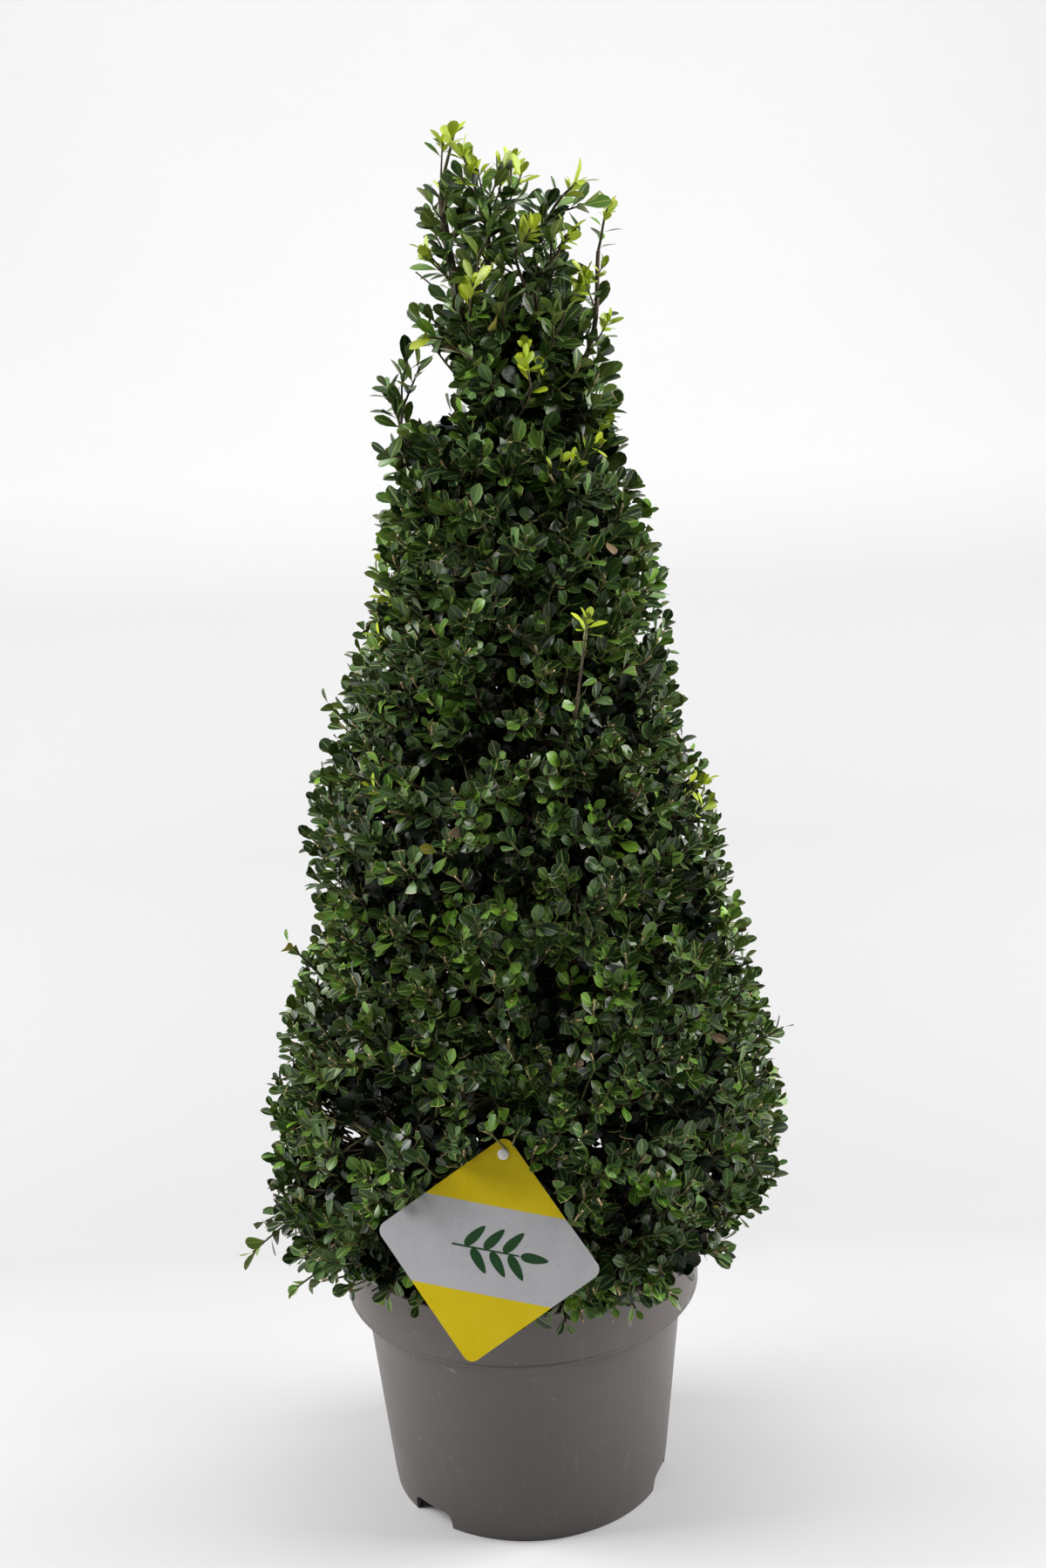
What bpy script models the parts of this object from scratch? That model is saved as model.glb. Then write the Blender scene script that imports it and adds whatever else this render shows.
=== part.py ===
"""Japanese holly clipped as a cone with a loose top, standing in its round nursery pot.

Units are metres, +Z is up, and the origin is the point of the ground on the pot's axis.
The trunk runs up through the crown as one piece. The clipped crown is a stack of tiers, each a
ring-shaped core with twigs and leaves standing out of it. Above the tiers, boughs carry loose
masses of leaves that have no core.
"""

import math
import random

import bmesh
import bpy
from mathutils import Euler, Vector
from mathutils.bvhtree import BVHTree

# Clearances between pieces
GAP = 0.0003
LEAF_MARGIN = 0.0008

# Pot
POT_SIDES = 40
POT_HEIGHT = 0.248
POT_FOOT_RADIUS = 0.123
POT_CREASE_RADIUS = 0.125
POT_CREASE_Z = 0.017
POT_BODY_TOP_RADIUS = 0.142
POT_BODY_TOP_Z = 0.190
POT_COLLAR_Z = 0.194
POT_COLLAR_RADIUS = 0.156
POT_RIM_RADIUS = 0.158
POT_WALL = 0.003
FOOT_RING_WIDTH = 0.004
POT_FLOOR_Z = 0.018
NOTCH_COUNT = 3
NOTCH_FIRST_ANGLE = math.radians(224)
NOTCH_WIDTH = 0.046
NOTCH_HEIGHT = 0.0165
NOTCH_SHOULDER = 0.6
NOTCH_CUT_FROM = 0.8 * POT_FOOT_RADIUS
NOTCH_CUT_TO = 1.2 * POT_FOOT_RADIUS

# Potting soil
SOIL_Z = 0.228
SOIL_MOUND = 0.003
SOIL_FLAT_RADIUS = 0.034
SOIL_EDGE_DROP = 0.003
SOIL_CREST_SHARE = 0.7
SOIL_SIDE_GAP = 1.5 * GAP

# Trunk: the path of its axis, from the soil to its tip
TRUNK_AXIS = (
    (0.000, 0.000, SOIL_Z + GAP),
    (0.004, 0.002, 0.420),
    (0.011, 0.000, 0.640),
    (0.010, -0.003, 0.840),
    (0.000, 0.000, 0.970),
    (-0.0145, 0.000, 1.048),
    (-0.0245, 0.000, 1.110),
    (-0.0285, 0.000, 1.150),
)
TRUNK_SIDES = 10
TRUNK_STEPS = 20
TRUNK_FOOT_RADIUS = 0.0125
TRUNK_TIP_RADIUS = 0.0024
TRUNK_TAPER_POWER = 0.8
TRUNK_STEP_POWER = 1.6
FLARE_SPREAD = 0.010
FLARE_HEIGHT = 0.016
FLARE_LOBES = 5
FLARE_LOBE_DEPTH = 0.25

# Boughs of the loose top: height at which each leaves the trunk, then its path to its tip
BOUGHS = {
    "bough_left": (0.885, ((-0.048, -0.004, 0.938), (-0.068, -0.006, 0.966), (-0.067, -0.006, 0.986))),
    "bough_far_right": (0.905, ((0.060, 0.004, 0.985), (0.0865, 0.006, 1.036), (0.0930, 0.006, 1.103))),
    "bough_front_right": (0.940, ((0.022, -0.020, 1.010), (0.042, -0.026, 1.058))),
    "bough_right": (0.960, ((0.026, 0.010, 1.030), (0.044, 0.012, 1.082))),
    "bough_centre": (1.010, ((-0.002, -0.008, 1.050), (0.002, -0.008, 1.076))),
}
BOUGH_SIDES = 6
BOUGH_FOOT_RADIUS = 0.0030
BOUGH_TIP_RADIUS = 0.0016
BOUGH_SPAN_STEPS = 4

# Seating of a limb's foot on what carries it
LIMB_SIDE_AXIS = Vector((0.31, 0.95, 0.02))
SEAT_START = 0.004
SEAT_STEPS = 14
SEAT_SAMPLES = 10

# Outline of the crown: height, reach from its centre line, shift of that line along X
CROWN_OUTLINE = (
    (0.255, 0.186, -0.004),
    (0.275, 0.210, -0.002),
    (0.315, 0.226, 0.000),
    (0.370, 0.223, 0.004),
    (0.500, 0.204, 0.010),
    (0.620, 0.179, 0.009),
    (0.760, 0.150, 0.009),
    (0.900, 0.113, 0.014),
    (1.000, 0.093, 0.014),
    (1.060, 0.075, 0.020),
    (1.095, 0.044, 0.024),
)

# Tiers of the clipped crown, which meet along upward-opening cups: the cup's height at the
# centre line under and over each tier, the leaf's length, sprays to the square metre, and the
# turn of its stem round the trunk. None stands for the crown's own underside or top.
TIERS = {
    "foliage_skirt": (None, 0.270, 0.062, 215, math.radians(216)),
    "foliage_lower": (0.270, 0.455, 0.062, 205, math.radians(36)),
    "foliage_middle": (0.455, 0.640, 0.057, 230, math.radians(144)),
    "foliage_upper": (0.640, 0.805, 0.050, 260, math.radians(324)),
    "foliage_neck": (0.805, None, 0.040, 300, math.radians(108)),
}
CUP_SLOPE = 0.8
CUP_MARGIN = 0.002
OUTLINE_MARGIN = 0.006
SPACE_STEPS = 6
CROWN_FLOOR_Z = 0.256
CORE_SIDES = 20
CORE_STATIONS = 4
CORE_DEPTH = 0.040
CORE_FLOOR_Z = 0.266
CORE_TOP_Z = 1.000
CORE_TOP_SHARE = 0.6
CORE_LUMP = 0.009
CORE_SEAM = 0.002
CORE_TRUNK_CLEARANCE = 0.004
STEM_RADIUS = 0.0030
ARM_STEPS = 5
ARM_REACH = 0.5
ARM_SWEEP = math.radians(162)
ARM_RADIUS = 0.0024

# Where a tier's sprays stand
SPRAY_FLOOR = 0.018
SPRAY_LEAST_REACH = 0.06
SPRAY_ANGLE_PLAY = 0.12
SPRAY_HEIGHT_PLAY = 0.008
SPRAY_DEPTH_PLAY = 0.006
SPRAY_LIFT = math.radians(43)
SPRAY_LIFT_PLAY = math.radians(15)
DROOP_BELOW_Z = 0.315
DROOP = math.radians(50)
TWIG_STRAIGHT = 0.020

# Leaves, twigs and sprays
LEAF_WIDTH = 0.56
LEAF_WIDEST = 0.56
LEAF_CUP = 0.10
LEAF_THICKNESS = 0.06
LEAF_FOOT = 0.35
SPRAY_LEAVES = 3
SPRAY_PITCH = 0.22
END_LEAF_DEPTH = 0.004
LEAF_DEPTH = 0.003

# The EXACT solver leaves clipped tiers in two bodies or touching themselves along an edge
TIER_SOLVER = "MANIFOLD"
LOOSE_SOLVER = "EXACT"
SPRAY_SPREAD = (math.radians(42), math.radians(64))
SPRAY_TILT_PLAY = 0.4
SPRAY_SIZE_LEAST = 0.82
FACING_RISE = 0.6
TWIG_SIDES = 3
STEM_SIDES = 4
TWIG_RADIUS = 0.0018
TWIG_TIP_SHARE = 0.6
GOLDEN_ANGLE = math.pi * (3 - math.sqrt(5))
TRIES = 6
FIRST_TIER_SEED = 21
FIRST_LOOSE_SEED = 31

# Long shoots that the shears missed: the tier they grow from, root and tip
STRAYS = (
    ("foliage_skirt", (-0.165, -0.030, 0.295), (-0.252, -0.040, 0.248)),
    ("foliage_lower", (0.150, -0.020, 0.400), (0.244, -0.030, 0.450)),
    ("foliage_lower", (-0.130, -0.020, 0.470), (-0.200, -0.030, 0.545)),
    ("foliage_middle", (-0.090, -0.020, 0.690), (-0.145, -0.030, 0.752)),
    ("foliage_upper", (0.058, -0.100, 0.740), (0.074, -0.142, 0.842)),
)
STRAY_LEAF = 0.036
STRAY_SIDE_LEAVES = 4
STRAY_FIRST_SHARE = 0.35
STRAY_SHARE_STEP = 0.15

# Loose masses: the bough, or the height on the trunk, that carries each, the heading and length
# of its stem, its side twigs and its leaf's length
LOOSE_MASSES = {
    "foliage_left": ("bough_left", (0.36, -0.06, 0.90), 0.046, 4, 0.034),
    "foliage_far_right": ("bough_far_right", (0.24, 0.00, 0.97), 0.026, 3, 0.024),
    "foliage_front_right": ("bough_front_right", (0.36, -0.20, 0.90), 0.056, 5, 0.034),
    "foliage_right": ("bough_right", (0.36, 0.10, 0.90), 0.070, 6, 0.034),
    "foliage_centre": ("bough_centre", (0.24, -0.10, 0.95), 0.092, 8, 0.034),
    "foliage_leader_side": (1.075, (-0.50, -0.25, 0.80), 0.022, 3, 0.030),
    "foliage_leader": (TRUNK_AXIS[-1][2], (0.20, 0.00, 0.98), 0.031, 4, 0.030),
}

LOOSE_TOP_LEAVES = 4
LOOSE_TWIG_LEAVES = 3
LOOSE_FIRST_SHARE = 0.12
LOOSE_LAST_SHARE = 0.84
LOOSE_SPREAD = (math.radians(34), math.radians(54))
LOOSE_TWIG_LENGTH = (0.45, 0.75)
LOOSE_TWIG_RADIUS = 0.7
LOOSE_TIP_SHARE = 0.85

# Label card and the pin that holds it
CARD_SIDE = 0.1335
CARD_CORNER_RADIUS = 0.008
CARD_CORNER_STEPS = 4
CARD_THICKNESS = 0.0012
CARD_CENTRE = Vector((-0.0257, -0.2092, 0.3407))
CARD_TURN = math.radians(-10.5)
CARD_LEAN = math.radians(-20.1)
CARD_SPIN = math.radians(7.8)
CARD_HOLE_RADIUS = 0.0032
CARD_HOLE_INSET = 0.0125
CARD_CLEAR_DEPTH = 0.060
CARD_CLEAR_EDGE = 0.004
CARD_DENT_DEPTH = 0.024
CARD_DENT_REACH = 0.140
PIN_SIDES = 12
PIN_SHANK_RADIUS = 0.0022
PIN_HEAD_RADIUS = 0.0046
PIN_HEAD_HEIGHT = 0.0020
PIN_HEAD_SHOULDER = 0.6
PIN_REACH = 0.012
PIN_TIER = "foliage_lower"
PIN_TWIG_LENGTH = 0.050


def clear_scene():
    for thing in list(bpy.data.objects):
        bpy.data.objects.remove(thing)


def material(name, colour, roughness):
    paint = bpy.data.materials.new(name)
    paint.use_nodes = True
    shader = paint.node_tree.nodes["Principled BSDF"]
    shader.inputs["Base Color"].default_value = (*colour, 1.0)
    shader.inputs["Roughness"].default_value = roughness
    shader.inputs["Metallic"].default_value = 0.0
    return paint


def solid(name, points, faces, collection=None):
    """An object with a closed mesh, its faces turned outwards."""
    mesh = bpy.data.meshes.new(name)
    mesh.from_pydata([tuple(point) for point in points], [], faces)
    work = bmesh.new()
    work.from_mesh(mesh)
    bmesh.ops.recalc_face_normals(work, faces=work.faces)
    work.to_mesh(mesh)
    work.free()
    thing = bpy.data.objects.new(name, mesh)
    (collection or bpy.context.scene.collection).objects.link(thing)
    return thing


def finish(thing, paint, smooth=False):
    thing.data.materials.clear()
    thing.data.materials.append(paint)
    if smooth:
        thing.data.shade_smooth()
        thing.data.set_sharp_from_angle(angle=math.radians(35))


def rings(loops):
    """Points and faces of a skin over equal loops of points, with flat caps on both ends."""
    count = len(loops[0])
    points = [point for loop in loops for point in loop]
    faces = [tuple(range(count)), tuple(range((len(loops) - 1) * count, len(loops) * count))]
    for row in range(len(loops) - 1):
        for side in range(count):
            after = (side + 1) % count
            low, high = row * count, (row + 1) * count
            faces.append((low + side, low + after, high + after, high + side))
    return points, faces


def turned(name, profile, sides):
    """A body of revolution about Z. The profile's first and last points lie on the axis."""
    points = [Vector((0, 0, profile[0][1])), Vector((0, 0, profile[-1][1]))]
    for radius, height in profile[1:-1]:
        for side in range(sides):
            angle = 2 * math.pi * side / sides
            points.append(Vector((radius * math.cos(angle), radius * math.sin(angle), height)))
    rows = len(profile) - 2
    faces = []
    for side in range(sides):
        after = (side + 1) % sides
        faces.append((0, 2 + side, 2 + after))
        faces.append((1, 2 + (rows - 1) * sides + side, 2 + (rows - 1) * sides + after))
        for row in range(rows - 1):
            low, high = 2 + row * sides, 2 + (row + 1) * sides
            faces.append((low + side, low + after, high + after, high + side))
    return solid(name, points, faces)


def tree_of(thing):
    """The surface of an object as a search tree."""
    points = [vertex.co for vertex in thing.data.vertices]
    return BVHTree.FromPolygons(points, [tuple(face.vertices) for face in thing.data.polygons])


def reserved(thing):
    """The search tree of a shape that keeps a space free, with the shape itself removed."""
    tree = tree_of(thing)
    bpy.data.objects.remove(thing)
    return tree


def apply_boolean(thing, operation, collection, solver="EXACT"):
    cut = thing.modifiers.new(operation.lower(), "BOOLEAN")
    cut.operation = operation
    cut.operand_type = "COLLECTION"
    cut.collection = collection
    cut.solver = solver
    bpy.context.view_layer.objects.active = thing
    bpy.ops.object.modifier_apply(modifier=cut.name)
    for piece in list(collection.objects):
        bpy.data.objects.remove(piece)
    bpy.data.collections.remove(collection)


def new_collection(name):
    collection = bpy.data.collections.new(name)
    bpy.context.scene.collection.children.link(collection)
    return collection


def keep_main_body(thing):
    """Drops loose scraps and the walls of sealed hollows, which are bodies of their own."""
    work = bmesh.new()
    work.from_mesh(thing.data)
    left = set(work.verts)
    bodies = []
    while left:
        body, edge = set(), [left.pop()]
        while edge:
            vertex = edge.pop()
            body.add(vertex)
            for link in vertex.link_edges:
                other = link.other_vert(vertex)
                if other in left:
                    left.remove(other)
                    edge.append(other)
        bodies.append(body)
    bodies.sort(key=len)
    scraps = [vertex for body in bodies[:-1] for vertex in body]
    bmesh.ops.delete(work, geom=scraps, context="VERTS")
    work.to_mesh(thing.data)
    work.free()


# ---------------------------------------------------------------- pot and soil


def inner_radius(z):
    """Radius of the pot's inner wall at a height below the collar's step."""
    share = (z - POT_CREASE_Z) / (POT_BODY_TOP_Z - POT_CREASE_Z)
    return POT_CREASE_RADIUS + share * (POT_BODY_TOP_RADIUS - POT_CREASE_RADIUS) - POT_WALL


def make_pot():
    floor_top = POT_FLOOR_Z + POT_WALL
    foot_inner = POT_FOOT_RADIUS - FOOT_RING_WIDTH
    profile = (
        (0, POT_FLOOR_Z),
        (foot_inner, POT_FLOOR_Z),
        (foot_inner, 0),
        (POT_FOOT_RADIUS, 0),
        (POT_CREASE_RADIUS, POT_CREASE_Z),
        (POT_BODY_TOP_RADIUS, POT_BODY_TOP_Z),
        (POT_COLLAR_RADIUS, POT_COLLAR_Z),
        (POT_RIM_RADIUS, POT_HEIGHT),
        (POT_RIM_RADIUS - POT_WALL, POT_HEIGHT),
        (POT_COLLAR_RADIUS - POT_WALL, POT_COLLAR_Z + POT_WALL),
        (inner_radius(POT_BODY_TOP_Z), POT_BODY_TOP_Z + POT_WALL),
        (inner_radius(floor_top), floor_top),
        (0, floor_top),
    )
    pot = turned("pot", profile, POT_SIDES)
    cutters = new_collection("notches")
    half = NOTCH_WIDTH / 2
    arch = (
        (-half, -NOTCH_HEIGHT),
        (half, -NOTCH_HEIGHT),
        (half, NOTCH_HEIGHT * NOTCH_SHOULDER),
        (half * NOTCH_SHOULDER, NOTCH_HEIGHT),
        (-half * NOTCH_SHOULDER, NOTCH_HEIGHT),
        (-half, NOTCH_HEIGHT * NOTCH_SHOULDER),
    )
    for number in range(NOTCH_COUNT):
        angle = NOTCH_FIRST_ANGLE + number * 2 * math.pi / NOTCH_COUNT
        out = Vector((math.cos(angle), math.sin(angle), 0))
        along = Vector((-out.y, out.x, 0))
        loops = [
            [out * reach + along * x + Vector((0, 0, z)) for x, z in arch]
            for reach in (NOTCH_CUT_FROM, NOTCH_CUT_TO)
        ]
        solid("notch", *rings(loops), cutters)
    apply_boolean(pot, "DIFFERENCE", cutters)
    finish(pot, material("grey_pot_plastic", (0.135, 0.125, 0.125), 0.5), smooth=True)
    return pot


def make_soil():
    low = POT_FLOOR_Z + POT_WALL + GAP
    step = POT_BODY_TOP_Z + POT_WALL + SOIL_SIDE_GAP
    edge = POT_COLLAR_RADIUS - POT_WALL - SOIL_SIDE_GAP
    profile = (
        (0, low),
        (inner_radius(low) - SOIL_SIDE_GAP, low),
        (inner_radius(POT_BODY_TOP_Z) - SOIL_SIDE_GAP, step),
        (edge, POT_COLLAR_Z + POT_WALL + SOIL_SIDE_GAP),
        (edge, SOIL_Z - SOIL_EDGE_DROP),
        (edge * SOIL_CREST_SHARE, SOIL_Z + SOIL_MOUND),
        (SOIL_FLAT_RADIUS, SOIL_Z),
        (0, SOIL_Z),
    )
    soil = turned("potting_soil", profile, POT_SIDES)
    finish(soil, material("dark_soil", (0.035, 0.024, 0.017), 0.95))
    return soil


# ---------------------------------------------------------------- trunk and boughs


def along_path(points, share):
    """A point on a smooth curve through the path's points, by share of its spans."""
    spans = len(points) - 1
    place = min(max(share, 0.0), 1.0) * spans
    index = min(int(place), spans - 1)
    local = place - index
    before = Vector(points[max(index - 1, 0)])
    start = Vector(points[index])
    end = Vector(points[index + 1])
    after = Vector(points[min(index + 2, spans)])
    leave, arrive = (end - before) / 2, (after - start) / 2
    square, cube = local**2, local**3
    return (
        start * (2 * cube - 3 * square + 1)
        + leave * (cube - 2 * square + local)
        + end * (3 * square - 2 * cube)
        + arrive * (cube - square)
    )


def trunk_at(z):
    """Centre and radius of the trunk at a height."""
    low, high = 0.0, 1.0
    for _ in range(24):
        middle = (low + high) / 2
        if along_path(TRUNK_AXIS, middle).z < z:
            low = middle
        else:
            high = middle
    rise = (z - TRUNK_AXIS[0][2]) / (TRUNK_AXIS[-1][2] - TRUNK_AXIS[0][2])
    taper = min(max(rise, 0), 1) ** TRUNK_TAPER_POWER
    radius = TRUNK_FOOT_RADIUS + (TRUNK_TIP_RADIUS - TRUNK_FOOT_RADIUS) * taper
    return along_path(TRUNK_AXIS, low), radius


def make_trunk():
    bottom, top = TRUNK_AXIS[0][2], TRUNK_AXIS[-1][2]
    loops = []
    for step in range(TRUNK_STEPS + 1):
        rise = (step / TRUNK_STEPS) ** TRUNK_STEP_POWER
        z = bottom + (top - bottom) * rise
        centre, radius = trunk_at(z)
        flare = math.exp(-(z - bottom) / FLARE_HEIGHT)
        loop = []
        for side in range(TRUNK_SIDES):
            angle = 2 * math.pi * side / TRUNK_SIDES
            lobes = 1 + FLARE_LOBE_DEPTH * math.cos(FLARE_LOBES * angle)
            reach = radius + FLARE_SPREAD * flare * lobes
            loop.append(Vector((centre.x + reach * math.cos(angle), centre.y + reach * math.sin(angle), z)))
        loops.append(loop)
    trunk = solid("trunk", *rings(loops))
    finish(trunk, material("trunk_bark", (0.16, 0.12, 0.085), 0.85), smooth=True)
    return trunk


def ring_at(path, index, radius, sides):
    """The ring of a limb's skin round one point of its path, square to the path there."""
    ahead = path[min(index + 1, len(path) - 1)] - path[max(index - 1, 0)]
    ahead.normalize()
    across = ahead.cross(LIMB_SIDE_AXIS).normalized()
    up = ahead.cross(across)
    angles = [2 * math.pi * side / sides for side in range(sides)]
    return [path[index] + (across * math.cos(angle) + up * math.sin(angle)) * radius for angle in angles]


def limb(name, path, radii, sides, collection=None):
    """A tapering limb along a path, with flat ends square to it."""
    loops = [ring_at(path, index, radius, sides) for index, radius in enumerate(radii)]
    return solid(name, *rings(loops), collection)


def seated(foot, following, back, radius, sides, carrier):
    """The foot of a limb, slid back until its end ring is one gap clear of what carries it."""
    foot = foot - back * SEAT_START
    for _ in range(SEAT_STEPS):
        ring = ring_at([foot, following], 0, radius, sides)
        edge = [
            start.lerp(end, sample / SEAT_SAMPLES)
            for start, end in zip(ring, ring[1:] + ring[:1])
            for sample in range(SEAT_SAMPLES)
        ]
        foot = foot + back * (min(carrier.find_nearest(point)[3] for point in edge) - GAP)
    return foot


def on_trunk(trunk, z, following, radius, sides):
    """The foot of a limb that leaves the trunk at a height and heads for its following point."""
    centre, bark = trunk_at(z)
    heading = following - centre
    flat = Vector((heading.x, heading.y, 0)).normalized()
    foot = centre + flat * (bark + radius)
    return seated(foot, following, -flat, radius, sides, trunk)


def bough_path(name, trunk):
    leaves_at, route = BOUGHS[name]
    route = [Vector(point) for point in route]
    foot = on_trunk(trunk, leaves_at, route[0], BOUGH_FOOT_RADIUS, BOUGH_SIDES)
    points = [foot] + route
    steps = BOUGH_SPAN_STEPS * (len(points) - 1)
    path = [along_path(points, step / steps) for step in range(steps + 1)]
    path[1] = path[0] + (route[0] - foot).normalized() * (path[1] - path[0]).length
    return path


def make_bough(name, trunk, grown=0.0, collection=None):
    path = bough_path(name, trunk)
    last = len(path) - 1
    radii = [
        BOUGH_FOOT_RADIUS + (BOUGH_TIP_RADIUS - BOUGH_FOOT_RADIUS) * index / last + grown
        for index in range(last + 1)
    ]
    return limb(name, path, radii, BOUGH_SIDES, collection)


# ---------------------------------------------------------------- label


def card_frame():
    """The card's centre, and its axes to the right, to the front and up its own plane."""
    turn = Euler((CARD_LEAN, CARD_SPIN, CARD_TURN), "YXZ").to_matrix()
    return CARD_CENTRE, turn @ Vector((1, 0, 0)), turn @ Vector((0, -1, 0)), turn @ Vector((0, 0, 1))


def card_outline(grown=0.0):
    """Corners of the square card that stands on its point, in its own plane."""
    half = CARD_SIDE / 2 + grown
    radius = CARD_CORNER_RADIUS + grown
    points = []
    for corner in range(4):
        middle = Vector((half - radius, 0)) + Vector((0, half - radius))
        for step in range(CARD_CORNER_STEPS):
            angle = math.pi / 2 * step / (CARD_CORNER_STEPS - 1)
            point = middle + Vector((math.cos(angle), math.sin(angle))) * radius
            turn = math.radians(45 + 90 * corner)
            points.append(
                (
                    point.x * math.cos(turn) - point.y * math.sin(turn),
                    point.x * math.sin(turn) + point.y * math.cos(turn),
                )
            )
    return points


def card_block(name, grown, back, front, collection=None):
    """The card's outline as a plate between two distances in front of its middle plane."""
    centre, right, forward, up = card_frame()
    loops = [
        [centre + right * x + up * y + forward * depth for x, y in card_outline(grown)]
        for depth in (back, front)
    ]
    return solid(name, *rings(loops), collection)


def pin_centre():
    centre, _, _, up = card_frame()
    half_diagonal = CARD_SIDE / math.sqrt(2) - CARD_CORNER_RADIUS * (math.sqrt(2) - 1)
    return centre + up * (half_diagonal - CARD_HOLE_INSET)


def pin_loops(spans):
    _, right, forward, up = card_frame()
    loops = []
    for depth, radius in spans:
        loop = []
        for side in range(PIN_SIDES):
            angle = 2 * math.pi * side / PIN_SIDES
            around = right * math.cos(angle) + up * math.sin(angle)
            loop.append(pin_centre() + forward * depth + around * radius)
        loops.append(loop)
    return rings(loops)


def pin_twig_path():
    """The twig that the pin is pushed on, from inside the core to one gap behind the shank."""
    _, _, forward, _ = card_frame()
    end = pin_centre() - forward * (PIN_REACH + GAP)
    return [end - forward * PIN_TWIG_LENGTH, end]


def make_label():
    half = CARD_THICKNESS / 2
    card = card_block("label_card", 0.0, -half, half)
    cutters = new_collection("hole")
    reach = 3 * CARD_THICKNESS
    solid("hole", *pin_loops(((-reach, CARD_HOLE_RADIUS), (reach, CARD_HOLE_RADIUS))), cutters)
    apply_boolean(card, "DIFFERENCE", cutters)
    finish(card, material("label_card_plastic", (0.62, 0.58, 0.22), 0.25))
    front = half + GAP
    pin = solid(
        "label_pin",
        *pin_loops(
            (
                (-PIN_REACH, PIN_SHANK_RADIUS),
                (front, PIN_SHANK_RADIUS),
                (front, PIN_HEAD_RADIUS),
                (front + PIN_HEAD_HEIGHT * PIN_HEAD_SHOULDER, PIN_HEAD_RADIUS),
                (front + PIN_HEAD_HEIGHT, PIN_HEAD_RADIUS * PIN_HEAD_SHOULDER),
            )
        ),
    )
    finish(pin, material("pin_plastic", (0.85, 0.85, 0.83), 0.4), smooth=True)
    return card, pin


# ---------------------------------------------------------------- foliage


def outline_at(z):
    """Reach of the crown from its centre line and the line's shift along X at a height."""
    if z <= CROWN_OUTLINE[0][0]:
        return CROWN_OUTLINE[0][1:]
    for low, high in zip(CROWN_OUTLINE, CROWN_OUTLINE[1:]):
        if z <= high[0]:
            share = (z - low[0]) / (high[0] - low[0])
            return tuple(a + (b - a) * share for a, b in zip(low[1:], high[1:]))
    return CROWN_OUTLINE[-1][1:]


def off_centre(point):
    return math.hypot(point.x - outline_at(point.z)[1], point.y)


def cup_edge(cup, depth):
    """Height at which a cup meets the outline taken in by a depth."""
    z = cup
    for _ in range(40):
        z = 0.5 * z + 0.5 * (cup + CUP_SLOPE * (outline_at(z)[0] - depth))
    return z


class Growth:
    """The pieces of one mass as they grow, and what they have to stay clear of."""

    def __init__(self, name, obstacles, inside=None):
        self.name = name
        self.obstacles = obstacles
        self.inside = inside
        self.pieces = new_collection(name + "_pieces")
        self.blades = []

    def fits(self, make, places=()):
        """Whether a piece, grown by the margin, keeps to the space and touches nothing."""
        if self.inside and not all(self.inside(place) for place in places):
            return False
        tree = reserved(make(LEAF_MARGIN, None))
        return not any(tree.overlap(other) for other in self.obstacles)

    def twig(self, path, checked=True, radius=TWIG_RADIUS, tip_share=TWIG_TIP_SHARE, bounded=True):
        last = len(path) - 1
        radii = [radius * (1 - (1 - tip_share) * index / last) for index in range(last + 1)]

        def make(margin, collection):
            grown = [value + margin for value in radii]
            return limb("twig", path, grown, TWIG_SIDES, collection)

        places = [
            start.lerp(end, step / SPACE_STEPS)
            for start, end in zip(path, path[1:])
            for step in range(SPACE_STEPS + 1)
        ]
        if checked and not self.fits(make, places if bounded else ()):
            return False
        make(0.0, self.pieces)
        return True

    def leaf(self, root, heading, facing, length, bounded=True):
        """A leaf with its root on its twig's axis. One that would cut another's blade is skipped."""
        heading = heading.normalized()
        side = heading.cross(facing).normalized()
        face = side.cross(heading)

        def make(margin, collection, start_share=0.0):
            middle = root + heading * length * LEAF_WIDEST
            wide = length * LEAF_WIDTH / 2 + margin
            thick = length * LEAF_THICKNESS + margin
            cup = face * length * LEAF_WIDTH * LEAF_CUP
            points = (
                root + heading * length * start_share,
                root + heading * (length + margin),
                middle + side * wide + cup,
                middle - side * wide + cup,
                middle - face * thick,
            )
            faces = []
            for edge in range(3):
                after = (edge + 1) % 3
                faces.append((0, 2 + edge, 2 + after))
                faces.append((1, 2 + edge, 2 + after))
            return solid("leaf", points, faces, collection)

        trial = make(0.0, None, LEAF_FOOT)
        places = [vertex.co.copy() for vertex in trial.data.vertices]
        blade = reserved(trial)
        if not self.fits(make, places if bounded else ()):
            return False
        if any(blade.overlap(other) for other in self.blades):
            return False
        self.blades.append(blade)
        make(0.0, self.pieces)
        return True

    def fuse(self, base, paint):
        solver = TIER_SOLVER if self.name in TIERS else LOOSE_SOLVER
        apply_boolean(base, "UNION", self.pieces, solver)
        keep_main_body(base)
        base.name = self.name
        finish(base, paint)
        return base


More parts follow.
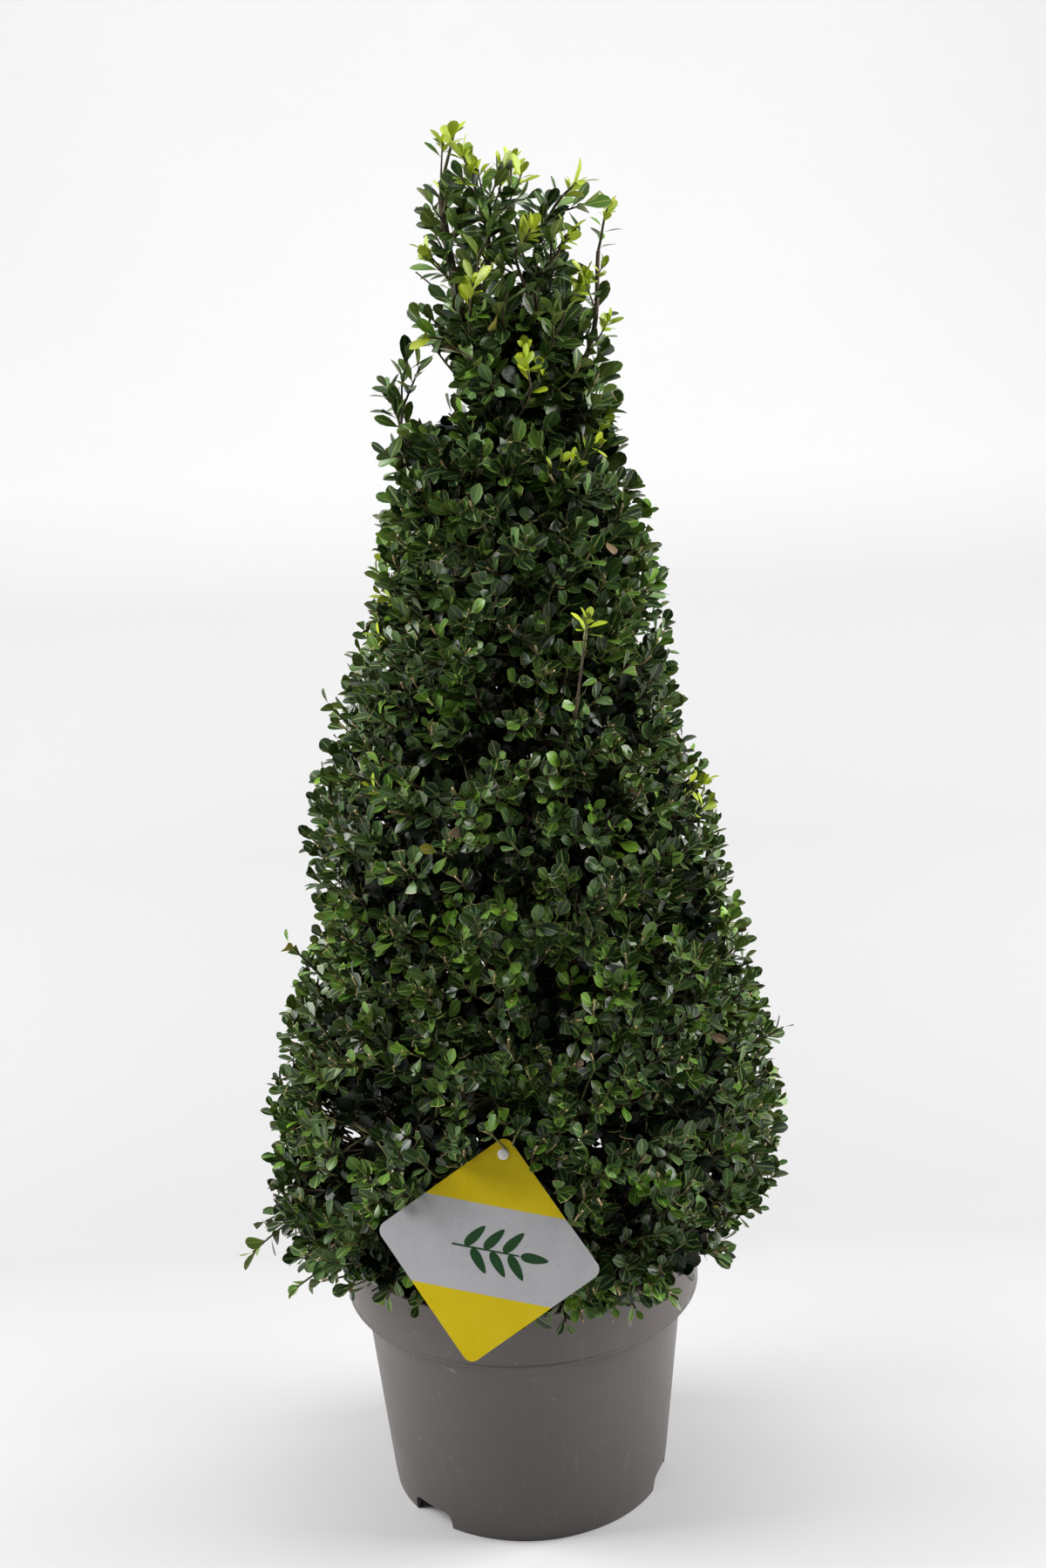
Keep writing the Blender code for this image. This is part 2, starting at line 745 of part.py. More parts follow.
def spray(growth, chance, tip, heading, out, length, leaves, bounded=True):
    """Leaves round the end of a twig: one ahead, the others turned by the golden angle."""
    across = heading.cross(out).normalized()
    lift = across.cross(heading).normalized()
    end = tip - heading * length
    turn = chance.uniform(0, 2 * math.pi)
    for number in range(leaves):
        tilt = chance.uniform(-SPRAY_TILT_PLAY, SPRAY_TILT_PLAY)
        facing = out + Vector((0, 0, FACING_RISE)) + across * tilt
        if number == 0:
            root = end - heading * END_LEAF_DEPTH
            growth.leaf(root, heading, facing, length + END_LEAF_DEPTH, bounded)
            continue
        angle = turn + number * GOLDEN_ANGLE
        spread = chance.uniform(*SPRAY_SPREAD)
        aside = across * math.cos(angle) + lift * abs(math.sin(angle))
        pointing = heading * math.cos(spread) + aside.normalized() * math.sin(spread)
        root = end - heading * (LEAF_DEPTH + length * SPRAY_PITCH * (number - 1))
        size = length * chance.uniform(SPRAY_SIZE_LEAST, 1.0)
        growth.leaf(root, pointing, facing, size, bounded)


def behind_card(point):
    """The point, pushed back where it would come near the label card."""
    centre, right, forward, up = card_frame()
    away = point - centre
    if abs(away.dot(right)) + abs(away.dot(up)) > CARD_DENT_REACH:
        return point
    return point - forward * max(0.0, away.dot(forward) + CARD_DENT_DEPTH)


def ring_core(name, under, over, chance):
    """A tier's core: a ring round the trunk, bounded by the cups under and over it."""
    low = cup_edge(under, CORE_DEPTH) if under else CORE_FLOOR_Z
    high = cup_edge(over, CORE_DEPTH) if over else CORE_TOP_Z

    def seam(point, cup, gap):
        """The point moved up or down onto a cup, with its share of the seam."""
        return Vector((point.x, point.y, cup + CUP_SLOPE * off_centre(point) + gap)) if cup else point

    columns = []
    for side in range(CORE_SIDES):
        angle = 2 * math.pi * side / CORE_SIDES
        out = Vector((math.cos(angle), math.sin(angle), 0))
        column = []
        for station in range(CORE_STATIONS):
            z = low + (high - low) * station / (CORE_STATIONS - 1)
            reach, shift = outline_at(z)
            lump = chance.uniform(-CORE_LUMP, CORE_LUMP) if 0 < station < CORE_STATIONS - 1 else 0
            share = CORE_TOP_SHARE if over is None and station == CORE_STATIONS - 1 else 1
            column.append(behind_card(Vector((shift, 0, z)) + out * (reach - CORE_DEPTH + lump) * share))
        column[0] = seam(column[0], under, CORE_SEAM)
        column[-1] = seam(column[-1], over, -CORE_SEAM)
        for cup, z, gap in ((over, high, -CORE_SEAM), (under, low, CORE_SEAM)):
            for _ in range(3):
                centre, bark = trunk_at(z)
                flare = FLARE_SPREAD * math.exp(-(z - TRUNK_AXIS[0][2]) / FLARE_HEIGHT)
                inner = centre + out * (bark + flare + CORE_TRUNK_CLEARANCE)
                inner.z = z
                inner = seam(inner, cup, gap)
                z = inner.z
            column.append(inner)
        top, bottom = column[-2], column[-1]
        middle_z = (top.z + bottom.z) / 2
        centre, bark = trunk_at(middle_z)
        waist = centre + out * (bark + CORE_TRUNK_CLEARANCE)
        waist.z = middle_z
        column.insert(-1, waist)
        columns.append(column)
    count = len(columns[0])
    points = [point for column in columns for point in column]
    faces = []
    for side in range(CORE_SIDES):
        here, there = side * count, (side + 1) % CORE_SIDES * count
        for row in range(count):
            after = (row + 1) % count
            faces.append((here + row, here + after, there + after, there + row))
    return solid(name, points, faces)


def tier_space(under, over):
    """The space of one tier, as a test of a point."""

    def inside(point):
        reach = off_centre(point)
        if reach > outline_at(point.z)[0] + OUTLINE_MARGIN or point.z < CROWN_FLOOR_Z:
            return False
        if under and point.z < under + CUP_SLOPE * reach + CUP_MARGIN:
            return False
        return not over or point.z < over + CUP_SLOPE * reach - CUP_MARGIN

    return inside


def middle_height(under, over, reach):
    """Height half-way between a tier's lower and upper bounds at a reach from the centre line."""
    low = under + CUP_SLOPE * reach if under else CORE_FLOOR_Z
    high = over + CUP_SLOPE * reach if over else CORE_TOP_Z
    return (low + high) / 2


def arm_points(under, over, turn):
    """Points of a tier's two arms, which leave its stem and run both ways round the trunk."""
    core_reach = outline_at(middle_height(under, over, 0.1))[0] - CORE_DEPTH
    reach = ARM_REACH * core_reach
    z = middle_height(under, over, reach)
    shift = outline_at(z)[1]
    arms = []
    for direction in (1, -1):
        angles = [turn + direction * ARM_SWEEP * step / ARM_STEPS for step in range(ARM_STEPS + 1)]
        arms.append(
            [Vector((shift + reach * math.cos(angle), reach * math.sin(angle), z)) for angle in angles]
        )
    return arms


def make_tier(name, trunk, obstacles, paint, seed):
    """A tier's core with its stem, its two arms and the sprays that stand out of it."""
    under, over, leaf_length, density, turn = TIERS[name]
    chance = random.Random(seed)
    core = ring_core(name, under, over, chance)
    if over is None:
        tunnels = new_collection("tunnels")
        for bough in BOUGHS:
            make_bough(bough, trunk, CORE_SEAM, tunnels)
        apply_boolean(core, "DIFFERENCE", tunnels)
        keep_main_body(core)
    growth = Growth(name, obstacles, tier_space(under, over))
    arms = arm_points(under, over, turn)
    stem_z = middle_height(under, over, TRUNK_FOOT_RADIUS)
    foot = on_trunk(trunk, stem_z, arms[0][0], STEM_RADIUS, TWIG_SIDES)
    growth.twig([foot, arms[0][0]], False, STEM_RADIUS)
    for arm in arms:
        growth.twig(arm, False, ARM_RADIUS)
    nodes = [point for arm in arms for point in arm]
    z = cup_edge(under, 0.0) if under else CROWN_OUTLINE[0][0]
    z += SPRAY_FLOOR
    top = cup_edge(over, 0.0) if over else CROWN_OUTLINE[-1][0]
    angle = chance.uniform(0, 2 * math.pi)
    while z < top:
        z += 1 / (density * 2 * math.pi * max(outline_at(z)[0], SPRAY_LEAST_REACH))
        angle += GOLDEN_ANGLE
        for _ in range(TRIES):
            if tier_spray(growth, chance, nodes, angle, z, leaf_length, under is None):
                break
    for tier, root, tip in STRAYS:
        if tier == name:
            stray(growth, chance, nodes, Vector(root), Vector(tip))
    if name == PIN_TIER:
        growth.twig(pin_twig_path(), False, PIN_SHANK_RADIUS, 1.0)
    return growth.fuse(core, paint)


def tier_spray(growth, chance, nodes, angle, z, leaf_length, lowest):
    """One twig from the nearest node of the arms to the outline, with its leaves, where it fits."""
    angle += chance.uniform(-SPRAY_ANGLE_PLAY, SPRAY_ANGLE_PLAY)
    z += chance.uniform(-SPRAY_HEIGHT_PLAY, SPRAY_HEIGHT_PLAY)
    reach, shift = outline_at(z)
    out = Vector((math.cos(angle), math.sin(angle), 0))
    lift = SPRAY_LIFT + chance.uniform(-SPRAY_LIFT_PLAY, SPRAY_LIFT_PLAY)
    if lowest and z < DROOP_BELOW_Z:
        lift -= DROOP
    heading = out * math.cos(lift) + Vector((0, 0, math.sin(lift)))
    tip = Vector((shift, 0, z)) + out * (reach - chance.uniform(0, SPRAY_DEPTH_PLAY))
    end = tip - heading * leaf_length
    node = min(nodes, key=lambda point: (point - end).length)
    if not growth.inside(tip):
        return False
    if not growth.twig([node, end - heading * TWIG_STRAIGHT, end]):
        return False
    spray(growth, chance, tip, heading, out, leaf_length, SPRAY_LEAVES)
    return True


def stray(growth, chance, nodes, root, tip):
    """A long shoot with its leaves set alternately along the outer part."""
    node = min(nodes, key=lambda point: (point - root).length)
    heading = (tip - root).normalized()
    out = Vector((heading.x, heading.y, 0)).normalized()
    across = heading.cross(Vector((0, 0, 1))).normalized()
    end = tip - heading * STRAY_LEAF
    if not growth.twig([node, root, end], bounded=False):
        return
    spray(growth, chance, tip, heading, out, STRAY_LEAF, SPRAY_LEAVES, False)
    for number in range(STRAY_SIDE_LEAVES):
        place = root.lerp(end, STRAY_FIRST_SHARE + STRAY_SHARE_STEP * number)
        side = across if number % 2 else -across
        facing = out + Vector((0, 0, FACING_RISE))
        growth.leaf(place, heading + side, facing, STRAY_LEAF, False)


def loose_stem_path(name, trunk):
    """Foot and top of a loose mass's stem, its foot one gap clear of what carries it."""
    carrier, heading, length = LOOSE_MASSES[name][:3]
    heading = Vector(heading).normalized()
    if carrier in BOUGHS:
        path = bough_path(carrier, trunk)
        along = (path[-1] - path[-2]).normalized()
        heading = (along + heading).normalized()
        bough = make_bough(carrier, trunk)
        end = path[-1]
        foot = seated(end, end + heading * length, -along, BOUGH_TIP_RADIUS, STEM_SIDES, reserved(bough))
    elif carrier < TRUNK_AXIS[-1][2]:
        top = trunk_at(carrier)[0] + heading * length
        foot = on_trunk(trunk, carrier, top, BOUGH_TIP_RADIUS, STEM_SIDES)
    else:
        end = Vector(TRUNK_AXIS[-1])
        down = Vector((0, 0, -1))
        foot = seated(end, end + heading * length, down, BOUGH_TIP_RADIUS, STEM_SIDES, trunk)
    return foot, foot + heading * length


def loose_stem(name, trunk, grown=0.0):
    foot, top = loose_stem_path(name, trunk)
    shares = (1.0, LOOSE_TIP_SHARE, LOOSE_TIP_SHARE**2)
    radii = [BOUGH_TIP_RADIUS * share + grown for share in shares]
    return limb(name, [foot, foot.lerp(top, 0.5), top], radii, STEM_SIDES)


def make_loose_mass(name, trunk, obstacles, paint, seed):
    """Twigs and leaves on one stem that goes on from the tip of a bough or of the trunk."""
    twigs, leaf_length = LOOSE_MASSES[name][3:]
    chance = random.Random(seed)
    growth = Growth(name, obstacles)
    foot, top = loose_stem_path(name, trunk)
    heading = (top - foot).normalized()
    out = Vector((heading.x, heading.y - 0.5, 0.2)).normalized()
    across = heading.cross(out).normalized()
    lift = across.cross(heading).normalized()
    spray(growth, chance, top + heading * leaf_length, heading, out, leaf_length, LOOSE_TOP_LEAVES, False)
    turn = chance.uniform(0, 2 * math.pi)
    for number in range(twigs):
        share = LOOSE_FIRST_SHARE + (LOOSE_LAST_SHARE - LOOSE_FIRST_SHARE) * number / (twigs - 1)
        angle = turn + number * GOLDEN_ANGLE
        aside = across * math.cos(angle) + lift * math.sin(angle)
        spread = chance.uniform(*LOOSE_SPREAD)
        pointing = heading * math.cos(spread) + aside * math.sin(spread)
        start = foot.lerp(top, share)
        end = start + pointing * leaf_length * chance.uniform(*LOOSE_TWIG_LENGTH)
        if growth.twig([start, end], radius=BOUGH_TIP_RADIUS * LOOSE_TWIG_RADIUS):
            tip = end + pointing * leaf_length
            spray(growth, chance, tip, pointing, aside, leaf_length, LOOSE_TWIG_LEAVES, False)
    return growth.fuse(loose_stem(name, trunk), paint)


def main():
    clear_scene()
    pot = make_pot()
    soil = make_soil()
    card, pin = make_label()
    trunk = make_trunk()
    bark = tree_of(trunk)
    bough_paint = material("bough_bark", (0.12, 0.085, 0.06), 0.8)
    boughs = [make_bough(name, bark) for name in BOUGHS]
    for bough in boughs:
        finish(bough, bough_paint, smooth=True)
    obstacles = [tree_of(thing) for thing in (pot, soil, card, pin, trunk, *boughs)]
    view_space = card_block("view_space", CARD_CLEAR_EDGE, -CARD_THICKNESS, CARD_CLEAR_DEPTH)
    obstacles.append(reserved(view_space))
    pin_twig = limb("pin_twig", pin_twig_path(), [PIN_SHANK_RADIUS + LEAF_MARGIN] * 2, TWIG_SIDES)
    pin_space = reserved(pin_twig)
    stems = [reserved(loose_stem(name, bark, LEAF_MARGIN)) for name in LOOSE_MASSES]
    clipped_paint = material("holly_leaf", (0.045, 0.10, 0.035), 0.4)
    loose_paint = material("young_holly_leaf", (0.19, 0.28, 0.05), 0.4)
    for seed, name in enumerate(TIERS, FIRST_TIER_SEED):
        avoided = obstacles + stems
        if name != PIN_TIER:
            avoided.append(pin_space)
        tier = make_tier(name, bark, avoided, clipped_paint, seed)
        obstacles.append(tree_of(tier))
    for seed, name in enumerate(LOOSE_MASSES, FIRST_LOOSE_SEED):
        mass = make_loose_mass(name, bark, obstacles, loose_paint, seed)
        obstacles.append(tree_of(mass))


if __name__ == "__main__":
    main()
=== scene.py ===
"""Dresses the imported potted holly: bark, twigs, leaves, pot, soil, label card and a pale studio.

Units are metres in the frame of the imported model. The plant grows here by the same rule as its
solids: a stem and two arms in each tier, branches from the arms, shoots from the branches, and
leaves round each shoot, turned by the golden angle.
"""

import math
import random

import bmesh
import bpy
from mathutils import Euler, Matrix, Vector, noise


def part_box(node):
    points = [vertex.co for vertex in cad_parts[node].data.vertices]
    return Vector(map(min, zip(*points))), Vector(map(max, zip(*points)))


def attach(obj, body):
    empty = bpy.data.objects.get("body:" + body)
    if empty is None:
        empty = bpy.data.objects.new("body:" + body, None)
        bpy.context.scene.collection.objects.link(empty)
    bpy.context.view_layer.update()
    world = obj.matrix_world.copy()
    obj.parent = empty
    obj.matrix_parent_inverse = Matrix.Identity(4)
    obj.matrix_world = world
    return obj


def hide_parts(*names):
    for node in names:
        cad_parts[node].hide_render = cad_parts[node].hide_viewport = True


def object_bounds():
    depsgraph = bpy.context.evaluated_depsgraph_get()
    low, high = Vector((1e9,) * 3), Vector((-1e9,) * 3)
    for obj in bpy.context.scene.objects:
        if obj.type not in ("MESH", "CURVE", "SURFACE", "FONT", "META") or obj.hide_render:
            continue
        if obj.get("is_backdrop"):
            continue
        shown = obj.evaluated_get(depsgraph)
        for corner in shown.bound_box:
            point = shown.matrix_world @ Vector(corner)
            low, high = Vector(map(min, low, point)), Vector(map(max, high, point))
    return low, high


bl_info = {
    "name": "Potted holly cone",
    "version": (1, 0, 0),
    "blender": (4, 5, 0),
    "location": "View3D > Sidebar > Holly cone",
    "description": "Bark, twigs, leaves, pot, soil, label and studio for a clipped holly in its pot",
    "category": "Object",
}

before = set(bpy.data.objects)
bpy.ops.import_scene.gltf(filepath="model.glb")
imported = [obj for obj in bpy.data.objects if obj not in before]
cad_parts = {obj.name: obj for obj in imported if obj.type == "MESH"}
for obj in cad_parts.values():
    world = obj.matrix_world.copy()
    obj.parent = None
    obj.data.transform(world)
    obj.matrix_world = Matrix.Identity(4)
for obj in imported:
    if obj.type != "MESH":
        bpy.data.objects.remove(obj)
CAD_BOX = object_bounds()
POT_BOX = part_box("pot")
TRUNK_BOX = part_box("trunk")
GOLDEN_ANGLE = math.pi * (3 - math.sqrt(5))
UP = Vector((0, 0, 1))

# Pot and soil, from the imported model
POT_RADIUS = POT_BOX[1].x
POT_HEIGHT = POT_BOX[1].z
SOIL_Z = TRUNK_BOX[0].z

# Trunk and boughs
TRUNK_AXIS = (
    (0.000, 0.000, 0.2283),
    (0.004, 0.002, 0.420),
    (0.011, 0.000, 0.640),
    (0.010, -0.003, 0.840),
    (0.000, 0.000, 0.970),
    (-0.0145, 0.000, 1.048),
    (-0.0245, 0.000, 1.110),
    (-0.0285, 0.000, 1.150),
)
TRUNK_FOOT_RADIUS = 0.0125
TRUNK_TIP_RADIUS = 0.0024
TRUNK_TAPER_POWER = 0.8
FLARE_SPREAD = 0.010
FLARE_HEIGHT = 0.016
BOUGHS = {
    "bough_left": (0.885, ((-0.048, -0.004, 0.938), (-0.068, -0.006, 0.966), (-0.067, -0.006, 0.986))),
    "bough_far_right": (0.905, ((0.060, 0.004, 0.985), (0.0865, 0.006, 1.036), (0.0930, 0.006, 1.103))),
    "bough_front_right": (0.940, ((0.022, -0.020, 1.010), (0.042, -0.026, 1.058))),
    "bough_right": (0.960, ((0.026, 0.010, 1.030), (0.044, 0.012, 1.082))),
    "bough_centre": (1.010, ((-0.002, -0.008, 1.050), (0.002, -0.008, 1.076))),
}
BOUGH_FOOT_RADIUS = 0.0030
BOUGH_TIP_RADIUS = 0.0016

# Crown: height, then how far its outline reaches to the left and to the right
CROWN_OUTLINE = (
    (0.240, 0.196, 0.186),
    (0.262, 0.220, 0.210),
    (0.290, 0.230, 0.228),
    (0.330, 0.222, 0.238),
    (0.380, 0.218, 0.240),
    (0.420, 0.211, 0.232),
    (0.470, 0.199, 0.217),
    (0.500, 0.187, 0.210),
    (0.522, 0.170, 0.208),
    (0.560, 0.166, 0.200),
    (0.590, 0.168, 0.192),
    (0.616, 0.172, 0.187),
    (0.664, 0.166, 0.183),
    (0.700, 0.152, 0.166),
    (0.755, 0.138, 0.155),
    (0.800, 0.120, 0.148),
    (0.844, 0.104, 0.143),
    (0.888, 0.098, 0.133),
    (0.931, 0.088, 0.120),
    (0.954, 0.080, 0.115),
    (0.970, 0.064, 0.112),
    (0.986, 0.042, 0.108),
    (1.000, 0.033, 0.105),
    (1.016, 0.034, 0.101),
    (1.045, 0.044, 0.096),
    (1.075, 0.030, 0.080),
)
TIERS = {
    "foliage_skirt": (None, 0.270, math.radians(216)),
    "foliage_lower": (0.270, 0.455, math.radians(36)),
    "foliage_middle": (0.455, 0.640, math.radians(144)),
    "foliage_upper": (0.640, 0.805, math.radians(324)),
    "foliage_neck": (0.805, None, math.radians(108)),
}
LOOSE_MASSES = (
    "foliage_left",
    "foliage_far_right",
    "foliage_front_right",
    "foliage_right",
    "foliage_centre",
    "foliage_leader_side",
    "foliage_leader",
)
# The hem of the skirt: no leaf of the clipped crown hangs lower, by the angle in degrees
SKIRT_HEM = (
    (-180, 0.262),
    (-155, 0.252),
    (-140, 0.274),
    (-118, 0.278),
    (-95, 0.264),
    (-60, 0.262),
    (-45, 0.260),
    (-30, 0.274),
    (-10, 0.278),
    (10, 0.270),
    (60, 0.266),
    (120, 0.262),
    (180, 0.262),
)
CUP_SLOPE = 0.8
CROWN_TOP_Z = 1.060
CROWN_FLOOR_Z = 0.256
ARM_STEPS = 5
ARM_SWEEP = math.radians(162)
ARM_REACH = 0.5
ARM_RADIUS = 0.0030

# How much longer the leaves are near the loose top than lower down
NECK_LEAF_GROWTH = 0.26

# Distance between the leaves of a shoot, counted from its tip, by the kind of shoot
LEAF_PITCH = {
    "young": 0.0036,
    "crown": 0.0047,
    "hem": 0.0052,
    "sprig": 0.0050,
    "side": 0.0042,
    "tuft": 0.0015,
}

# Pockets between the clumps of the clipped crown: their fineness, how rare they are, and depth
POCKET_SCALE = 21.0
POCKET_FROM = 0.05
POCKET_DEPTH = 0.085

# Long shoots that stand out of the clipped crown: path, leaf length, leaves, kind of leaf
LONG_SHOOTS = (
    (((-0.165, -0.030, 0.295), (-0.205, -0.036, 0.276), (-0.236, -0.040, 0.252)), 0.021, 13, "mid"),
    (((-0.150, -0.020, 0.300), (-0.195, -0.020, 0.285), (-0.225, -0.022, 0.272)), 0.020, 9, "cool"),
    (((0.150, -0.020, 0.400), (0.200, -0.026, 0.424), (0.232, -0.030, 0.444)), 0.019, 9, "mid"),
    (((-0.130, -0.020, 0.470), (-0.165, -0.026, 0.512), (-0.186, -0.030, 0.540)), 0.020, 9, "mid"),
    (((-0.090, -0.020, 0.690), (-0.125, -0.026, 0.732), (-0.139, -0.030, 0.750)), 0.019, 8, "mid"),
    (((0.058, -0.100, 0.740), (0.063, -0.148, 0.790), (0.070, -0.150, 0.840)), 0.019, 5, "mid"),
    (((0.069, -0.150, 0.832), (0.070, -0.150, 0.840), (0.071, -0.150, 0.848)), 0.016, 9, "new"),
    (((0.110, -0.020, 0.610), (0.150, -0.020, 0.650), (0.170, -0.010, 0.664)), 0.018, 6, "new"),
    (((0.060, 0.060, 0.700), (0.100, 0.110, 0.770), (0.108, 0.120, 0.800)), 0.020, 8, "mid"),
    (((-0.080, 0.120, 0.500), (-0.110, 0.150, 0.560), (-0.118, 0.158, 0.580)), 0.020, 8, "cool"),
)

# Stems of the loose top: route from foot to tip, radius, leaf length, leaves, share that stays
# bare, whether its tip is young, and number of side shoots
TOP_STEMS = (
    (((-0.0285, 0.000, 1.1503), (-0.0259, 0.0, 1.1649), (-0.0193, 0.0, 1.1867), (-0.0158, 0.0, 1.1985)),
     0.0017, 0.019, 6, 0.70, True, 0),
    (((-0.0285, 0.000, 1.1503), (-0.0270, -0.004, 1.172), (-0.0250, -0.006, 1.193)),
     0.0010, 0.018, 5, 0.70, True, 0),
    (((0.002, -0.008, 1.0763), (0.0080, -0.011, 1.110), (0.0044, -0.012, 1.1364),
      (-0.0024, -0.012, 1.161), (-0.0095, -0.012, 1.182)),
     0.0018, 0.024, 18, 0.10, True, 6),
    (((0.0077, -0.010, 1.120), (0.0050, -0.018, 1.148), (0.0010, -0.020, 1.172)),
     0.0011, 0.022, 12, 0.10, True, 2),
    (((0.002, -0.008, 1.0763), (0.0098, 0.004, 1.129), (0.0231, 0.012, 1.148), (0.0280, 0.014, 1.173)),
     0.0016, 0.023, 15, 0.20, True, 4),
    (((0.0077, 0.000, 1.1325), (0.0176, 0.000, 1.154), (0.0186, 0.000, 1.170)),
     0.0010, 0.020, 8, 0.20, True, 0),
    (((0.0195, -0.004, 1.139), (0.0300, -0.004, 1.155), (0.0350, -0.004, 1.166)),
     0.0010, 0.020, 8, 0.15, True, 0),
    (((0.044, 0.012, 1.0823), (0.0431, 0.004, 1.105), (0.0598, -0.008, 1.1406), (0.0770, -0.010, 1.1580)),
     0.0017, 0.025, 15, 0.20, True, 4),
    (((0.050, -0.003, 1.121), (0.050, -0.012, 1.135), (0.056, -0.020, 1.146)),
     0.0010, 0.023, 7, 0.15, False, 0),
    (((0.042, -0.026, 1.0583), (0.0441, -0.026, 1.0877), (0.0594, -0.028, 1.1064),
      (0.0695, -0.028, 1.1215)),
     0.0016, 0.024, 14, 0.15, True, 3),
    (((0.042, -0.026, 1.0583), (0.0278, -0.030, 1.1046), (0.0338, -0.034, 1.1160),
      (0.0400, -0.036, 1.1280)),
     0.0014, 0.024, 13, 0.10, True, 3),
    (((0.044, 0.012, 1.0823), (0.030, 0.022, 1.108), (0.022, 0.030, 1.132)),
     0.0012, 0.024, 11, 0.10, False, 2),
    (((0.0930, 0.006, 1.1033), (0.0953, 0.006, 1.1126), (0.0985, 0.006, 1.1282), (0.1015, 0.006, 1.1370)),
     0.0013, 0.018, 9, 0.05, True, 0),
    (((0.0900, 0.006, 1.070), (0.0925, 0.002, 1.084), (0.0955, -0.002, 1.093)),
     0.0007, 0.015, 6, 0.10, True, 0),
    (((0.0893, 0.006, 1.058), (0.0830, -0.010, 1.078), (0.0805, -0.016, 1.088)),
     0.0009, 0.019, 9, 0.10, True, 0),
    (((-0.067, -0.006, 0.9863), (-0.0590, -0.006, 1.003), (-0.0512, -0.006, 1.0198)),
     0.0011, 0.022, 10, 0.10, False, 0),
    (((-0.067, -0.006, 0.9863), (-0.0660, -0.006, 1.006), (-0.0608, -0.006, 1.024)),
     0.0010, 0.024, 8, 0.10, False, 0),
    (((-0.067, -0.006, 0.9863), (-0.0740, -0.004, 0.994), (-0.0775, -0.002, 1.003)),
     0.0009, 0.020, 7, 0.10, False, 0),
    (((-0.0195, -0.002, 1.077), (-0.0343, -0.004, 1.100), (-0.0430, -0.005, 1.110)),
     0.0010, 0.019, 8, 0.30, True, 0),
    (((-0.0220, 0.000, 1.095), (-0.0330, 0.004, 1.118), (-0.0370, 0.006, 1.130)),
     0.0009, 0.022, 7, 0.20, False, 0),
    (((-0.0150, 0.000, 1.053), (-0.0292, 0.000, 1.073), (-0.0510, 0.000, 1.0932)),
     0.0010, 0.018, 0, 1.00, False, 0),
    (((-0.0100, -0.004, 1.020), (-0.0100, -0.040, 1.060), (-0.0062, -0.048, 1.090)),
     0.0013, 0.024, 13, 0.10, True, 3),
    (((0.0100, -0.020, 0.960), (0.0340, -0.058, 1.002), (0.0320, -0.070, 1.032)),
     0.0013, 0.022, 11, 0.20, True, 2),
    (((0.0230, -0.035, 0.985), (-0.0035, -0.055, 1.027), (-0.0210, -0.050, 1.0403)),
     0.0013, 0.023, 8, 0.35, False, 1),
    (((0.0388, -0.030, 1.020), (0.0367, -0.030, 1.0413), (0.0351, -0.030, 1.0594)),
     0.0012, 0.018, 0, 1.00, False, 0),
    (((0.0880, 0.004, 1.030), (0.0940, 0.000, 1.040), (0.0984, 0.000, 1.047)),
     0.0009, 0.019, 9, 0.10, True, 0),
    (((0.0600, -0.008, 1.010), (0.0650, -0.010, 1.060), (0.0780, -0.016, 1.080)),
     0.0013, 0.023, 14, 0.10, True, 4),
    (((0.0500, -0.010, 1.050), (0.0560, -0.010, 1.0894), (0.0600, -0.010, 1.104)),
     0.0011, 0.026, 11, 0.05, False, 3),
    (((-0.0150, -0.002, 1.030), (-0.0300, -0.010, 1.048), (-0.0400, -0.012, 1.058)),
     0.0012, 0.025, 10, 0.10, False, 1),
    (((-0.0200, -0.010, 1.010), (-0.0420, -0.010, 1.040), (-0.0490, -0.010, 1.058)),
     0.0011, 0.023, 8, 0.20, False, 0),
    (((-0.0050, 0.010, 1.020), (-0.0200, 0.030, 1.058), (-0.0240, 0.036, 1.084)),
     0.0012, 0.025, 11, 0.10, False, 3),
    (((0.0150, 0.012, 1.020), (0.0120, 0.034, 1.070), (0.0060, 0.042, 1.100)),
     0.0012, 0.025, 12, 0.10, True, 4),
    (((0.0400, 0.012, 1.020), (0.0560, 0.034, 1.060), (0.0640, 0.044, 1.080)),
     0.0012, 0.025, 12, 0.10, False, 3),
    (((0.0040, -0.012, 1.040), (-0.0020, -0.030, 1.100), (0.0060, -0.034, 1.120)),
     0.0012, 0.027, 13, 0.10, False, 3),
    (((0.0200, -0.016, 1.020), (0.0160, -0.044, 1.062), (0.0200, -0.052, 1.080)),
     0.0012, 0.026, 11, 0.10, False, 3),
    (((0.0450, -0.022, 1.020), (0.0580, -0.048, 1.050), (0.0640, -0.054, 1.066)),
     0.0012, 0.024, 10, 0.10, False, 2),
    (((-0.0240, 0.000, 1.106), (-0.0180, -0.010, 1.124), (-0.0100, -0.014, 1.138)),
     0.0010, 0.024, 9, 0.10, False, 1),
    (((-0.0270, 0.000, 1.130), (-0.0340, -0.006, 1.142), (-0.0370, -0.008, 1.150)),
     0.0008, 0.019, 6, 0.20, False, 0),
    (((-0.0275, 0.000, 1.140), (-0.0190, -0.004, 1.152), (-0.0140, -0.006, 1.160)),
     0.0008, 0.018, 6, 0.20, True, 0),
)

# Leafy stretch of the trunk's top: from and to what height, and its side shoots
TRUNK_TOP_SHOOTS = (1.040, 1.140, 13)
BOUGH_SHOOTS = {
    "bough_left": 5,
    "bough_front_right": 4,
    "bough_right": 5,
    "bough_centre": 4,
    "bough_far_right": 1,
}

